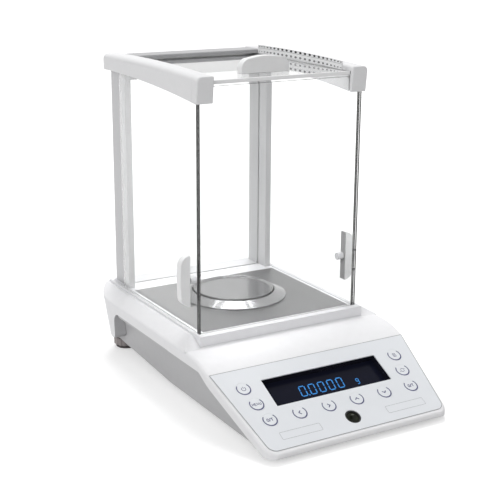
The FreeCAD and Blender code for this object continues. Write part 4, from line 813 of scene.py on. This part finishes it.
# %% White floor that keeps its shadow
def seen_rays(tree):
    """One for camera rays and for rays that arrive by reflection or through glass, else nought."""
    path = add(tree, "ShaderNodeLightPath").outputs
    first = maths(tree, "ADD", path["Is Camera Ray"], path["Is Glossy Ray"])
    return maths(tree, "ADD", first, path["Is Transmission Ray"], clamp=True)


floor_mesh = bpy.data.meshes.new("floor")
floor_mesh.from_pydata([(-30, -30, 0), (30, -30, 0), (30, 30, 0), (-30, 30, 0)], [], [(0, 1, 2, 3)])
floor = bpy.data.objects.new("floor", floor_mesh)
bpy.context.scene.collection.objects.link(floor)
made, tree, shader = start_material("white floor", Specular_IOR_Level=0.0, Roughness=0.9)
bouncing_grey, seen_grey = (0.60, 0.60, 0.60), (0.9, 0.9, 0.9)
plug(tree, shader.inputs["Base Color"], blend_colours(tree, seen_rays(tree), bouncing_grey, seen_grey))
white = add(tree, "ShaderNodeEmission", Color=(1, 1, 1, 1), Strength=2.3).outputs[0]
shown = tree.nodes.new("ShaderNodeMixShader")
away = add(tree, "ShaderNodeVectorMath", {"operation": "LENGTH"})
plug(tree, away.inputs[0], add(tree, "ShaderNodeTexCoord").outputs["Object"])
near, far, near_share, far_share = 0.35, 1.3, 0.20, 0.36
white_share = ramp(tree, away.outputs["Value"], near, far, near_share, far_share)
plug(tree, shown.inputs[0], maths(tree, "MULTIPLY", seen_rays(tree), white_share))
plug(tree, shown.inputs[1], shader.outputs[0])
plug(tree, shown.inputs[2], white)
tree.links.new(shown.outputs[0], tree.nodes["Material Output"].inputs["Surface"])
floor_mesh.materials.append(made)

world = bpy.data.worlds.new("white sky")
bpy.context.scene.world = world
world.use_nodes = True
tree = world.node_tree
plug(tree, tree.nodes["Background"].inputs["Color"], (1, 1, 1, 1))
lighting, shown_white = 0.48, 1.0
strength = ramp(tree, seen_rays(tree), 0.0, 1.0, lighting, shown_white)
plug(tree, tree.nodes["Background"].inputs["Strength"], strength)
print("floor and sky set")

# %% [markdown]
# Two broad soft lamps shape the white plastic: one high behind the right side, which makes the top faces
# brightest and leaves the front lip a little darker, and a weaker one from the left. Neither shows in
# polished metal, which mirrors only the white sky.

# %% Lamps
def soft_lamp(name, place, target, size, power):
    """A square area lamp turned so that its face looks at a target."""
    lamp = bpy.data.lights.new(name, "AREA")
    lamp.shape = "SQUARE"
    lamp.size = size
    lamp.energy = power
    held = bpy.data.objects.new(name, lamp)
    bpy.context.scene.collection.objects.link(held)
    held.location = place
    held.rotation_euler = (Vector(target) - Vector(place)).to_track_quat("-Z", "Y").to_euler()
    held.visible_glossy = False


soft_lamp("overhead", (0.45, 0.85, 2.0), (0, 0, 0.1), 0.9, 27)
soft_lamp("from_left", (-1.8, -0.9, 1.2), (0, 0, 0.1), 1.2, 16)
print("lamps: 2")

# %% [markdown]
# The camera stands a metre away, a little above the roof and to the left, with a lens long enough to keep
# the case's upright edges nearly parallel.

# %% Camera
camera_place, focal_length, film_width = (-0.5340, -0.8765, 0.4221), 81.4, 36.0
turn, height, roll = math.radians(-30.70), math.radians(16.04), math.radians(0.39)
back = Vector((math.sin(turn) * math.cos(height), -math.cos(turn) * math.cos(height), math.sin(height)))
level_right = Vector((0, 0, 1)).cross(back).normalized()
level_up = back.cross(level_right)
right = level_right * math.cos(roll) + level_up * math.sin(roll)
axes = Matrix((right, back.cross(right), back)).transposed()
lens_data = bpy.data.cameras.new("camera")
lens_data.lens = focal_length
lens_data.sensor_width = film_width
camera = bpy.data.objects.new("camera", lens_data)
bpy.context.scene.collection.objects.link(camera)
camera.matrix_world = Matrix.Translation(camera_place) @ axes.to_4x4()
bpy.context.scene.camera = camera
bpy.context.scene.view_settings.view_transform = "Standard"
print("camera looks along", [round(-c, 3) for c in back])
